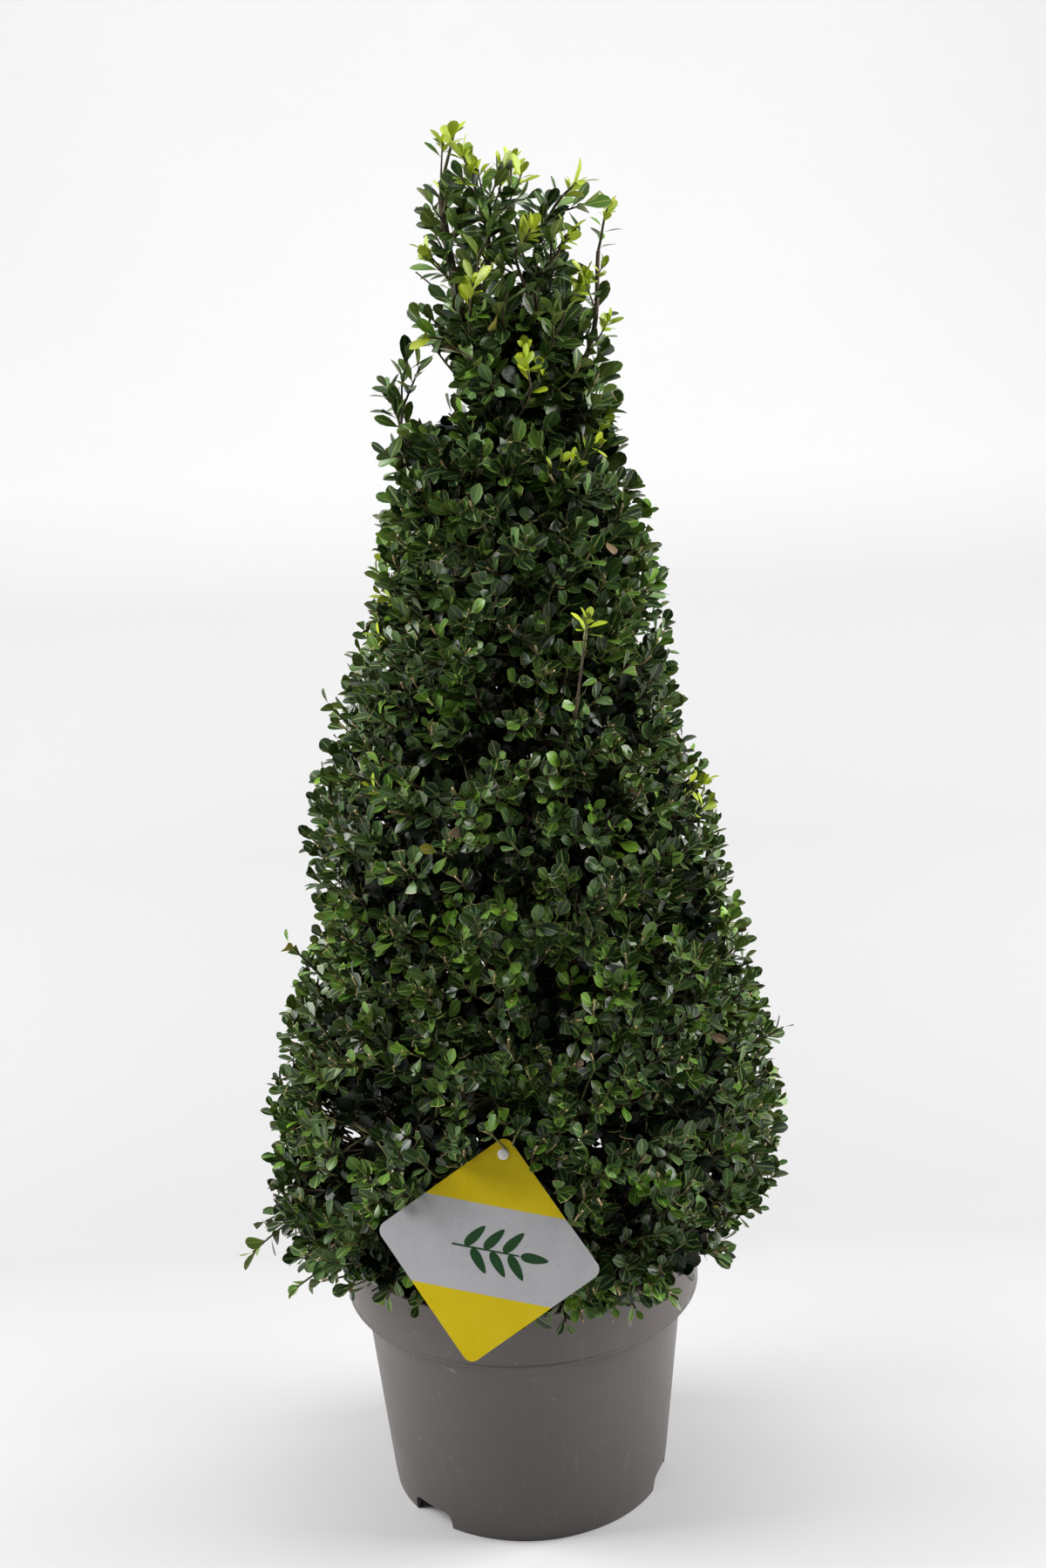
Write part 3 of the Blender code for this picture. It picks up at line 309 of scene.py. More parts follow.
# Places of young, bright sprays on the clipped crown: a point near each, and how many shoots
YOUNG_SPRAYS = (
    ((0.0788, -0.080, 0.986), 2),
    ((0.1090, -0.030, 0.962), 3),
    ((-0.1020, -0.030, 0.882), 2),
    ((-0.1110, -0.030, 0.835), 2),
    ((0.1760, -0.030, 0.668), 3),
    ((0.0330, -0.082, 1.030), 2),
    ((-0.0600, 0.080, 0.960), 2),
    ((0.0900, 0.110, 0.800), 2),
    ((-0.1500, 0.080, 0.560), 2),
    ((0.0200, 0.190, 0.520), 2),
    ((0.2050, 0.060, 0.400), 2),
    ((-0.1200, -0.100, 0.700), 1),
)

# Sprigs that droop lower than the hem: where each ends, and its leaves
HANGING_SPRIGS = (
    ((0.0350, -0.188, 0.258), 7),
    ((0.0930, -0.180, 0.264), 5),
    ((0.1260, -0.158, 0.260), 6),
    ((-0.1920, -0.110, 0.256), 7),
    ((-0.1130, -0.170, 0.276), 5),
    ((0.1900, 0.080, 0.262), 5),
    ((-0.0400, 0.200, 0.258), 6),
    ((0.0200, -0.186, 0.270), 4),
)

# Straight ways through the crown that stay free of leaves: two ends and a radius
SKY_GAPS = (
    ((-0.133, -0.150, 0.420), (-0.158, 0.160, 0.262), 0.010),
    ((-0.108, -0.160, 0.411), (-0.128, 0.180, 0.240), 0.006),
    ((-0.152, -0.120, 0.428), (-0.178, 0.120, 0.305), 0.007),
    ((0.160, -0.110, 0.330), (0.176, 0.100, 0.245), 0.006),
    ((-0.0350, -0.120, 1.0323), (-0.0415, 0.120, 0.9878), 0.008),
    ((-0.0402, -0.120, 1.0205), (-0.0471, 0.120, 0.9742), 0.010),
    ((-0.0449, -0.120, 1.0076), (-0.0526, 0.120, 0.9596), 0.008),
)

# Label card
CARD_CENTRE = Vector((-0.0257, -0.2092, 0.3407))
CARD_TURN = Euler((math.radians(-20.1), math.radians(7.8), math.radians(-10.5)), "YXZ")
CARD_SIDE = 0.1335
CARD_CORNER_RADIUS = 0.008
CARD_HOLE_INSET = 0.0125
CARD_THICKNESS = 0.0010
CARD_CLEAR = 0.0035
# How far from the card's middle its coloured bands start
CARD_BAND_FROM = 0.036
# How far the print stands over the card, and how thick it is
PRINT_LIFT = 0.00012
PRINT_THICKNESS = 0.0004
PIN_HOLE_RADIUS = 0.0032
PIN_HEAD_RADIUS = 0.0046
PIN_SHANK_RADIUS = 0.0022
PIN_REACH = 0.012

# Camera
CAMERA_PLACE = (0.0173, -2.0694, 1.3975)
CAMERA_TILT = math.radians(70.47)
CAMERA_ROLL = math.radians(-2.27)


# ---------------------------------------------------------------- settings


class PotSettings(bpy.types.PropertyGroup):
    colour: bpy.props.FloatVectorProperty(
        name="Pot colour",
        description="Base colour of the pot's plastic",
        subtype="COLOR",
        size=3,
        default=(0.120, 0.105, 0.099),
    )
    # How strongly the painted sheen shows: pale vertical streaks painted on the pot's side
    painted_sheen: bpy.props.FloatProperty(
        name="Painted_sheen",
        description="How strongly pale streaks show on the pot's side",
        subtype="FACTOR",
        min=0.0,
        max=1.0,
        default=0.35,
    )
    sides: bpy.props.IntProperty(
        name="Sides", description="Facets round the pot", min=24, max=256, default=144
    )


class SoilSettings(bpy.types.PropertyGroup):
    colour: bpy.props.FloatVectorProperty(
        name="Soil colour",
        description="Base colour of the moist potting mix",
        subtype="COLOR",
        size=3,
        default=(0.020, 0.014, 0.010),
    )
    chips: bpy.props.IntProperty(
        name="Chips", description="Number of bark chips and crumbs on the soil", min=0, default=900
    )


class BarkSettings(bpy.types.PropertyGroup):
    colour: bpy.props.FloatVectorProperty(
        name="Bark colour",
        description="Base colour of the trunk and boughs",
        subtype="COLOR",
        size=3,
        default=(0.085, 0.060, 0.046),
    )
    relief: bpy.props.FloatProperty(
        name="Bark relief",
        description="Height of the bark's ridges",
        subtype="DISTANCE",
        unit="LENGTH",
        min=0.0,
        max=0.002,
        default=0.0006,
    )


class CrownSettings(bpy.types.PropertyGroup):
    leaf_length: bpy.props.FloatProperty(
        name="Leaf length",
        description="Length of a full-grown leaf with its stalk",
        subtype="DISTANCE",
        unit="LENGTH",
        min=0.005,
        max=0.050,
        default=0.0185,
    )
    shoots: bpy.props.FloatProperty(
        name="Shoots per square metre",
        description="Shoots that end on each square metre of the clipped outline",
        min=100.0,
        default=3400.0,
    )
    inner_shoots: bpy.props.FloatProperty(
        name="Inner shoots per square metre",
        description="Shoots that end behind the outline, which darken the inside",
        min=0.0,
        default=2300.0,
    )
    seed: bpy.props.IntProperty(name="Seed", description="Seed of the growth rule", default=7)


class LabelSettings(bpy.types.PropertyGroup):
    yellow: bpy.props.FloatVectorProperty(
        name="Band colour",
        description="Colour of the card's two bands",
        subtype="COLOR",
        size=3,
        default=(0.72, 0.545, 0.006),
    )
    grey: bpy.props.FloatVectorProperty(
        name="Field colour",
        description="Colour of the card's pale field",
        subtype="COLOR",
        size=3,
        default=(0.50, 0.50, 0.52),
    )
    bend: bpy.props.FloatProperty(
        name="Bend",
        description="How far the card's side corners bend back",
        subtype="DISTANCE",
        unit="LENGTH",
        min=0.0,
        max=0.010,
        default=0.0025,
    )


class StageSettings(bpy.types.PropertyGroup):
    lens: bpy.props.FloatProperty(
        name="Lens", description="Focal length in millimetres", subtype="DISTANCE_CAMERA", default=60.03
    )
    sky: bpy.props.FloatProperty(
        name="Surround light", description="Strength of the even light all round", min=0.0, default=0.06
    )
    key: bpy.props.FloatProperty(
        name="Key light", description="Power of the large light at the left", subtype="POWER", default=142.0
    )
    fill: bpy.props.FloatProperty(
        name="Fill light", description="Power of the large light at the right", subtype="POWER", default=136.0
    )
    top: bpy.props.FloatProperty(
        name="Top light", description="Power of the large light overhead", subtype="POWER", default=36.0
    )
    backdrop: bpy.props.FloatProperty(
        name="Backdrop light",
        description="Power of each light on the backdrop",
        subtype="POWER",
        default=34.0,
    )


class HollySettings(bpy.types.PropertyGroup):
    pot: bpy.props.PointerProperty(type=PotSettings)
    soil: bpy.props.PointerProperty(type=SoilSettings)
    bark: bpy.props.PointerProperty(type=BarkSettings)
    crown: bpy.props.PointerProperty(type=CrownSettings)
    label: bpy.props.PointerProperty(type=LabelSettings)
    stage: bpy.props.PointerProperty(type=StageSettings)


# ---------------------------------------------------------------- node helpers


def add_node(tree, kind, **values):
    """A node with its properties set. A value for an input is given as its name with in_ before."""
    node = tree.nodes.new(kind)
    for name, value in values.items():
        if name.startswith("in_"):
            node.inputs[name[3:].replace("_", " ")].default_value = value
        else:
            setattr(node, name, value)
    return node


def link(tree, start, end):
    tree.links.new(start, end)


def shader_group(name, inputs, outputs):
    """A shader node group with its inputs and outputs, or None and the group if it is there."""
    if name in bpy.data.node_groups:
        return bpy.data.node_groups[name], None, None
    group = bpy.data.node_groups.new(name, "ShaderNodeTree")
    for label, kind, value in inputs:
        socket = group.interface.new_socket(label, in_out="INPUT", socket_type=kind)
        socket.default_value = value
    for label, kind in outputs:
        group.interface.new_socket(label, in_out="OUTPUT", socket_type=kind)
    return group, group.nodes.new("NodeGroupInput"), group.nodes.new("NodeGroupOutput")


def blotch_group():
    """Soft, uneven patches over a surface, as a mask from 0 to 1."""
    group, given, out = shader_group(
        "uneven_patches",
        (
            ("Vector", "NodeSocketVector", (0, 0, 0)),
            ("Scale", "NodeSocketFloat", 20.0),
            ("Detail", "NodeSocketFloat", 4.0),
            ("Low", "NodeSocketFloat", 0.35),
            ("High", "NodeSocketFloat", 0.65),
        ),
        (("Mask", "NodeSocketFloat"),),
    )
    if out is None:
        return group
    cloud = add_node(group, "ShaderNodeTexNoise", in_Roughness=0.6)
    spread = add_node(group, "ShaderNodeMapRange", clamp=True)
    link(group, given.outputs["Vector"], cloud.inputs["Vector"])
    link(group, given.outputs["Scale"], cloud.inputs["Scale"])
    link(group, given.outputs["Detail"], cloud.inputs["Detail"])
    link(group, cloud.outputs["Fac"], spread.inputs["Value"])
    link(group, given.outputs["Low"], spread.inputs["From Min"])
    link(group, given.outputs["High"], spread.inputs["From Max"])
    link(group, spread.outputs["Result"], out.inputs["Mask"])
    return group


def add_patches(tree, vector, scale, detail, low, high):
    node = tree.nodes.new("ShaderNodeGroup")
    node.node_tree = blotch_group()
    for label, value in (("Scale", scale), ("Detail", detail), ("Low", low), ("High", high)):
        node.inputs[label].default_value = value
    link(tree, vector, node.inputs["Vector"])
    return node.outputs["Mask"]


def new_material(name, roughness, coat=0.0, coat_roughness=0.1, specular=0.5):
    """A material with one Principled shader, its node tree and that shader."""
    paint = bpy.data.materials.new(name)
    paint.use_nodes = True
    tree = paint.node_tree
    shader = tree.nodes["Principled BSDF"]
    shader.inputs["Roughness"].default_value = roughness
    shader.inputs["Coat Weight"].default_value = coat
    shader.inputs["Coat Roughness"].default_value = coat_roughness
    shader.inputs["Specular IOR Level"].default_value = specular
    return paint, tree, shader


def object_place(tree, stretch=(1, 1, 1)):
    place = tree.nodes.new("ShaderNodeTexCoord")
    turn = add_node(tree, "ShaderNodeMapping")
    turn.inputs["Scale"].default_value = stretch
    link(tree, place.outputs["Object"], turn.inputs["Vector"])
    return turn.outputs["Vector"]


def mixed(tree, share, first, second):
    """A mix of two colours, each a colour or a socket, by a share or a socket."""
    mix = add_node(tree, "ShaderNodeMix", data_type="RGBA")
    for socket, value in ((mix.inputs[6], first), (mix.inputs[7], second)):
        if isinstance(value, bpy.types.NodeSocket):
            link(tree, value, socket)
        else:
            socket.default_value = (*value, 1.0)
    if isinstance(share, bpy.types.NodeSocket):
        link(tree, share, mix.inputs[0])
    else:
        mix.inputs[0].default_value = share
    return mix.outputs[2]


def calculated(tree, operation, first, second):
    """One sum on two values, each a number or a socket."""
    node = add_node(tree, "ShaderNodeMath", operation=operation)
    for socket, value in zip(node.inputs, (first, second)):
        if isinstance(value, bpy.types.NodeSocket):
            link(tree, value, socket)
        else:
            socket.default_value = value
    return node.outputs[0]


def ramp(tree, value, low, high, start, end):
    """A value that runs from a start to an end while another runs from low to high."""
    node = add_node(tree, "ShaderNodeMapRange", clamp=True)
    limits = (("From Min", low), ("From Max", high), ("To Min", start), ("To Max", end))
    for label, limit in limits:
        node.inputs[label].default_value = limit
    link(tree, value, node.inputs["Value"])
    return node.outputs["Result"]


def add_bump(tree, shader, height, distance, strength=1.0):
    bump = add_node(tree, "ShaderNodeBump", in_Strength=strength, in_Distance=distance)
    link(tree, height, bump.inputs["Height"])
    link(tree, bump.outputs["Normal"], shader.inputs["Normal"])


def tinted(colour, share):
    return tuple(value * share for value in colour)


# ---------------------------------------------------------------- materials


def pot_material(settings):
    """Matte grey moulded plastic with pale vertical streaks of painted sheen, dust, and painted shade that
    darkens it towards the foot.
    """
    base = tuple(settings.colour)
    paint, tree, shader = new_material("moulded_pot", 0.42, specular=0.45)
    place = object_place(tree)
    streak_place = object_place(tree, (1.0, 1.0, 0.06))
    clouds = add_patches(tree, place, 9.0, 3.0, 0.30, 0.75)
    colour = mixed(tree, clouds, tinted(base, 0.88), tinted(base, 1.10))
    # Pale vertical streaks mixed into the colour below are painted sheen, standing in for the gloss's
    # highlights
    streaks = add_patches(tree, streak_place, 130.0, 3.0, 0.56, 0.80)
    patches = add_patches(tree, place, 6.0, 2.0, 0.42, 0.66)
    sheen_mask = calculated(tree, "MULTIPLY", streaks, patches)
    sheen_mask = calculated(tree, "MULTIPLY", sheen_mask, settings.painted_sheen)
    colour = mixed(tree, sheen_mask, colour, (0.42, 0.41, 0.40))
    marks = add_patches(tree, place, 75.0, 5.0, 0.66, 0.72)
    marks = calculated(tree, "MULTIPLY", marks, 0.30)
    colour = mixed(tree, marks, colour, (0.46, 0.45, 0.43))
    apart = tree.nodes.new("ShaderNodeSeparateXYZ")
    link(tree, place, apart.inputs[0])
    # Painted shade: the colour darkens towards the pot's foot
    foot = ramp(tree, apart.outputs["Z"], 0.0, 0.21, 0.80, 0.0)
    colour = mixed(tree, foot, colour, tinted(base, 0.52))
    link(tree, colour, shader.inputs["Base Color"])
    link(tree, ramp(tree, clouds, 0.0, 1.0, 0.36, 0.54), shader.inputs["Roughness"])
    grain = add_node(tree, "ShaderNodeTexNoise", in_Scale=900.0, in_Detail=2.0)
    link(tree, place, grain.inputs["Vector"])
    add_bump(tree, shader, grain.outputs["Fac"], 0.0001, 0.5)
    return paint


def soil_material(settings):
    base = tuple(settings.colour)
    paint, tree, shader = new_material("moist_soil", 0.95, specular=0.25)
    place = object_place(tree)
    crumbs = add_patches(tree, place, 180.0, 6.0, 0.35, 0.65)
    link(tree, mixed(tree, crumbs, tinted(base, 0.5), tinted(base, 1.6)), shader.inputs["Base Color"])
    add_bump(tree, shader, crumbs, 0.002, 0.8)
    return paint


def chip_material():
    paint, tree, shader = new_material("bark_chips", 0.9, specular=0.25)
    place = object_place(tree)
    fibres = add_patches(tree, place, 90.0, 4.0, 0.35, 0.65)
    link(tree, mixed(tree, fibres, (0.030, 0.018, 0.011), (0.115, 0.070, 0.042)), shader.inputs["Base Color"])
    add_bump(tree, shader, fibres, 0.001, 0.6)
    return paint


def bark_material(settings):
    """Grey-brown bark with long cracks and pale pores."""
    base = tuple(settings.colour)
    paint, tree, shader = new_material("holly_bark", 0.78, specular=0.35)
    place = object_place(tree)
    long_place = object_place(tree, (1.0, 1.0, 0.16))
    ridges = add_patches(tree, long_place, 420.0, 6.0, 0.34, 0.66)
    colour = mixed(tree, ridges, tinted(base, 0.45), tinted(base, 1.5))
    grey = add_patches(tree, place, 60.0, 4.0, 0.48, 0.72)
    grey = calculated(tree, "MULTIPLY", grey, 0.6)
    colour = mixed(tree, grey, colour, (0.20, 0.175, 0.150))
    pores = add_node(tree, "ShaderNodeTexVoronoi", in_Scale=340.0)
    link(tree, place, pores.inputs["Vector"])
    spots = ramp(tree, pores.outputs["Distance"], 0.12, 0.20, 0.55, 0.0)
    colour = mixed(tree, spots, colour, (0.30, 0.235, 0.175))
    link(tree, colour, shader.inputs["Base Color"])
    add_bump(tree, shader, ridges, 0.0006, 0.8)
    return paint


def twig_material(name, dark, pale):
    paint, tree, shader = new_material(name, 0.7, specular=0.35)
    place = object_place(tree)
    mottle = add_patches(tree, place, 260.0, 4.0, 0.35, 0.65)
    link(tree, mixed(tree, mottle, dark, pale), shader.inputs["Base Color"])
    add_bump(tree, shader, mottle, 0.0003, 0.5)
    return paint


# Tan of a leaf's edge where the shears have cut it
CUT_EDGE_COLOUR = (0.66, 0.51, 0.24)


def leaf_surface_group():
    """Colour of a leaf from its two greens, its tone, and its own map across and along."""
    group, given, out = shader_group(
        "leaf_surface",
        (
            ("Dark", "NodeSocketColor", (0.02, 0.05, 0.02, 1)),
            ("Light", "NodeSocketColor", (0.04, 0.09, 0.03, 1)),
            ("Rib", "NodeSocketColor", (0.12, 0.20, 0.06, 1)),
            ("Stalk", "NodeSocketColor", (0.28, 0.24, 0.10, 1)),
            ("Margin", "NodeSocketFloat", 0.7),
        ),
        (("Color", "NodeSocketColor"), ("Height", "NodeSocketFloat")),
    )
    if out is None:
        return group
    tone = add_node(group, "ShaderNodeAttribute", attribute_name="tone")
    own = add_node(group, "ShaderNodeUVMap", uv_map="leaf_map")
    apart = group.nodes.new("ShaderNodeSeparateXYZ")
    link(group, own.outputs["UV"], apart.inputs[0])
    colour = mixed(group, tone.outputs["Fac"], given.outputs["Dark"], given.outputs["Light"])
    across = calculated(group, "SUBTRACT", apart.outputs["X"], 0.5)
    across = calculated(group, "ABSOLUTE", across, 0.0)
    rib = ramp(group, across, 0.03, 0.075, 0.55, 0.0)
    colour = mixed(group, rib, colour, given.outputs["Rib"])
    # Painted highlight: a thin pale edge in the rib's green, where light catches the leaf's rim
    edge = ramp(group, across, 0.44, 0.49, 0.0, 1.0)
    margin_highlight = calculated(group, "MULTIPLY", edge, given.outputs["Margin"])
    colour = mixed(group, margin_highlight, colour, given.outputs["Rib"])
    stalk = ramp(group, apart.outputs["Y"], 0.10, 0.16, 0.9, 0.0)
    colour = mixed(group, stalk, colour, given.outputs["Stalk"])
    cut = ramp(group, apart.outputs["Y"], 0.942, 0.970, 0.0, 0.85)
    colour = mixed(group, cut, colour, CUT_EDGE_COLOUR)
    link(group, colour, out.inputs["Color"])
    link(group, rib, out.inputs["Height"])
    return group


# Leaf shapes: width as a share of length, cup, droop of the tip, twist, length kept by the shears
LEAF_SHAPES = (
    (0.56, 0.26, 0.05, 0.00, 1.0),
    (0.60, 0.32, -0.04, 0.04, 1.0),
    (0.50, 0.28, 0.10, -0.05, 1.0),
    (0.58, 0.20, 0.02, 0.06, 1.0),
    (0.53, 0.36, -0.06, -0.03, 1.0),
    (0.61, 0.22, 0.14, 0.02, 1.0),
    (0.55, 0.26, 0.03, 0.03, 0.62),
    (0.58, 0.22, 0.06, -0.04, 0.74),
    (0.44, 0.24, 0.08, 0.02, 1.0),
    (0.48, 0.30, -0.03, -0.04, 1.0),
    (0.42, 0.20, 0.12, 0.03, 1.0),
)
FULL_SHAPES = range(6)
CUT_SHAPES = range(6, 8)
SLIM_SHAPES = range(8, 11)

# Kind of leaf: its darker and lighter green, the paler green of its rib and of the painted highlight along
# its edge, its roughness
LEAF_KINDS = {
    # Painted shade: a darker green for leaves deep inside the crown and under the skirt
    "shade": ((0.0010, 0.0044, 0.0007), (0.0048, 0.0155, 0.0024), (0.020, 0.040, 0.010), 0.38),
    "dark": ((0.0034, 0.0145, 0.0025), (0.0370, 0.0930, 0.0180), (0.180, 0.250, 0.060), 0.32),
    "mid": ((0.0082, 0.0330, 0.0048), (0.1400, 0.2850, 0.0400), (0.380, 0.460, 0.110), 0.31),
    "cool": ((0.0090, 0.0330, 0.0105), (0.1250, 0.2350, 0.0750), (0.340, 0.410, 0.140), 0.29),
    "fresh": ((0.0420, 0.1250, 0.0085), (0.1850, 0.3700, 0.0280), (0.330, 0.460, 0.095), 0.33),
    "new": ((0.2700, 0.3800, 0.0120), (0.5000, 0.5700, 0.0200), (0.560, 0.630, 0.090), 0.40),
    "yellowed": ((0.3000, 0.2700, 0.0300), (0.4200, 0.3600, 0.0600), (0.500, 0.430, 0.120), 0.48),
    "dry": ((0.1000, 0.0600, 0.0300), (0.2600, 0.1800, 0.1000), (0.340, 0.250, 0.150), 0.70),
}


LEAF_GLOSS = {"coat": 0.10, "coat_roughness": 0.16, "specular": 0.32}


def leaf_material(kind):
    dark, light, rib, roughness = LEAF_KINDS[kind]
    paint, tree, shader = new_material("leaf_" + kind, roughness, **LEAF_GLOSS)
    surface = tree.nodes.new("ShaderNodeGroup")
    surface.node_tree = leaf_surface_group()
    for label, colour in (("Dark", dark), ("Light", light), ("Rib", rib)):
        surface.inputs[label].default_value = (*colour, 1.0)
    back = tree.nodes.new("ShaderNodeNewGeometry")
    pale = mixed(tree, 0.30, surface.outputs["Color"], tinted(rib, 1.1))
    colour = mixed(tree, back.outputs["Backfacing"], surface.outputs["Color"], pale)
    link(tree, colour, shader.inputs["Base Color"])
    add_bump(tree, shader, surface.outputs["Height"], 0.0003, 0.4)
    return paint


def printed_material(name, colour, roughness=0.32):
    """Glossy print on thin plastic, with faint handling marks in its gloss."""
    paint, tree, shader = new_material(name, roughness, coat=0.35, coat_roughness=0.12)
    place = object_place(tree)
    marks = add_patches(tree, place, 45.0, 3.0, 0.35, 0.70)
    colour = mixed(tree, marks, tinted(colour, 0.98), tinted(colour, 1.02))
    link(tree, colour, shader.inputs["Base Color"])
    gloss = ramp(tree, marks, 0.0, 1.0, roughness - 0.06, roughness + 0.08)
    link(tree, gloss, shader.inputs["Roughness"])
    return paint


# ---------------------------------------------------------------- mesh helpers


def mesh_object(name, points, faces, paints):
    """A new smooth mesh object at the origin, with its materials."""
    mesh = bpy.data.meshes.new(name)
    mesh.from_pydata([tuple(point) for point in points], [], faces)
    for paint in paints:
        mesh.materials.append(paint)
    mesh.polygons.foreach_set("use_smooth", [True] * len(mesh.polygons))
    mesh.update()
    thing = bpy.data.objects.new(name, mesh)
    bpy.context.scene.collection.objects.link(thing)
    return thing


def turn_outwards(thing, merge=0.0):
    work = bmesh.new()
    work.from_mesh(thing.data)
    if merge:
        bmesh.ops.remove_doubles(work, verts=work.verts, dist=merge)
    bmesh.ops.recalc_face_normals(work, faces=work.faces)
    work.to_mesh(thing.data)
    work.free()


def turned(name, profile, sides, paints, smooth_angle=40):
    """A body of revolution about Z. The profile's first and last points lie on the axis."""
    points = [(0, 0, profile[0][1]), (0, 0, profile[-1][1])]
    for radius, height in profile[1:-1]:
        for side in range(sides):
            angle = 2 * math.pi * side / sides
            points.append((radius * math.cos(angle), radius * math.sin(angle), height))
    rows = len(profile) - 2
    faces = []
    for side in range(sides):
        after = (side + 1) % sides
        faces.append((0, 2 + side, 2 + after))
        faces.append((1, 2 + (rows - 1) * sides + side, 2 + (rows - 1) * sides + after))
        for row in range(rows - 1):
            low, high = 2 + row * sides, 2 + (row + 1) * sides
            faces.append((low + side, low + after, high + after, high + side))
    thing = mesh_object(name, points, faces, paints)
    turn_outwards(thing)
    thing.data.set_sharp_from_angle(angle=math.radians(smooth_angle))
    return thing


def rounded(corner, start, end, radius, steps=5):
    """Points of an arc that rounds a corner of a profile between its two neighbours."""
    corner, start, end = Vector(corner), Vector(start), Vector(end)
    first = corner + (start - corner).normalized() * radius
    last = corner + (end - corner).normalized() * radius
    points = []
    for step in range(steps + 1):
        share = step / steps
        points.append(tuple(first.lerp(corner, share).lerp(corner.lerp(last, share), share)))
    return points


def rounded_profile(profile):
    """A profile whose corners are rounded by the radius that stands third in each point."""
    points = []
    for index, (radius, height, soft) in enumerate(profile):
        if not soft:
            points.append((radius, height))
            continue
        points += rounded((radius, height), profile[index - 1][:2], profile[index + 1][:2], soft)
    return points


def keep(thing, slot, *nodes):
    """Hands a finished piece to the frame: it rides on the plant's body and stands for nodes."""
    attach(thing, "root")
    if nodes:
        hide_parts(*nodes)
    return thing


# ---------------------------------------------------------------- geometry node trees


def geometry_tree(name, inputs):
    tree = bpy.data.node_groups.new(name, "GeometryNodeTree")
    tree.interface.new_socket("Geometry", in_out="INPUT", socket_type="NodeSocketGeometry")
    for label, kind, value in inputs:
        socket = tree.interface.new_socket(label, in_out="INPUT", socket_type=kind)
        if value is not None:
            socket.default_value = value
    tree.interface.new_socket("Geometry", in_out="OUTPUT", socket_type="NodeSocketGeometry")
    return tree, tree.nodes.new("NodeGroupInput"), tree.nodes.new("NodeGroupOutput")


def named(tree, name, kind):
    node = add_node(tree, "GeometryNodeInputNamedAttribute", data_type=kind)
    node.inputs["Name"].default_value = name
    return node.outputs["Attribute"]


def scatter_tree():
    """Sets one of some shapes on each point, by the point's own turn, size and shape number."""
    if "shapes_on_points" in bpy.data.node_groups:
        return bpy.data.node_groups["shapes_on_points"]
    tree, given, out = geometry_tree(
        "shapes_on_points",
        (
            ("Shapes", "NodeSocketCollection", None),
            ("Length", "NodeSocketFloat", 1.0),
            ("Length play", "NodeSocketFloat", 0.0),
            ("Seed", "NodeSocketInt", 1),
            ("Material", "NodeSocketMaterial", None),
        ),
    )
    shapes = add_node(tree, "GeometryNodeCollectionInfo")
    shapes.inputs["Separate Children"].default_value = True
    shapes.inputs["Reset Children"].default_value = True
    turn = tree.nodes.new("FunctionNodeEulerToRotation")
    play = add_node(tree, "FunctionNodeRandomValue", data_type="FLOAT")
    least = add_node(tree, "ShaderNodeMath", operation="SUBTRACT")
    least.inputs[0].default_value = 1.0
    most = add_node(tree, "ShaderNodeMath", operation="ADD")
    most.inputs[0].default_value = 1.0
    own = add_node(tree, "ShaderNodeMath", operation="MULTIPLY")
    size = add_node(tree, "ShaderNodeMath", operation="MULTIPLY")
    place = add_node(tree, "GeometryNodeInstanceOnPoints")
    place.inputs["Pick Instance"].default_value = True
    whole = tree.nodes.new("GeometryNodeRealizeInstances")
    paint = tree.nodes.new("GeometryNodeSetMaterial")
    link(tree, given.outputs["Shapes"], shapes.inputs["Collection"])
    link(tree, named(tree, "turn", "FLOAT_VECTOR"), turn.inputs["Euler"])
    link(tree, given.outputs["Length play"], least.inputs[1])
    link(tree, given.outputs["Length play"], most.inputs[1])
    link(tree, least.outputs[0], play.inputs[2])
    link(tree, most.outputs[0], play.inputs[3])
    link(tree, given.outputs["Seed"], play.inputs["Seed"])
    link(tree, named(tree, "size", "FLOAT"), own.inputs[0])
    link(tree, given.outputs["Length"], own.inputs[1])
    link(tree, own.outputs[0], size.inputs[0])
    link(tree, play.outputs[1], size.inputs[1])
    link(tree, given.outputs["Geometry"], place.inputs["Points"])
    link(tree, shapes.outputs["Instances"], place.inputs["Instance"])
    link(tree, named(tree, "shape", "INT"), place.inputs["Instance Index"])
    link(tree, turn.outputs["Rotation"], place.inputs["Rotation"])
    link(tree, size.outputs[0], place.inputs["Scale"])
    link(tree, place.outputs["Instances"], whole.inputs["Geometry"])
    link(tree, whole.outputs["Geometry"], paint.inputs["Geometry"])
    link(tree, given.outputs["Material"], paint.inputs["Material"])
    link(tree, paint.outputs["Geometry"], out.inputs["Geometry"])
    return tree


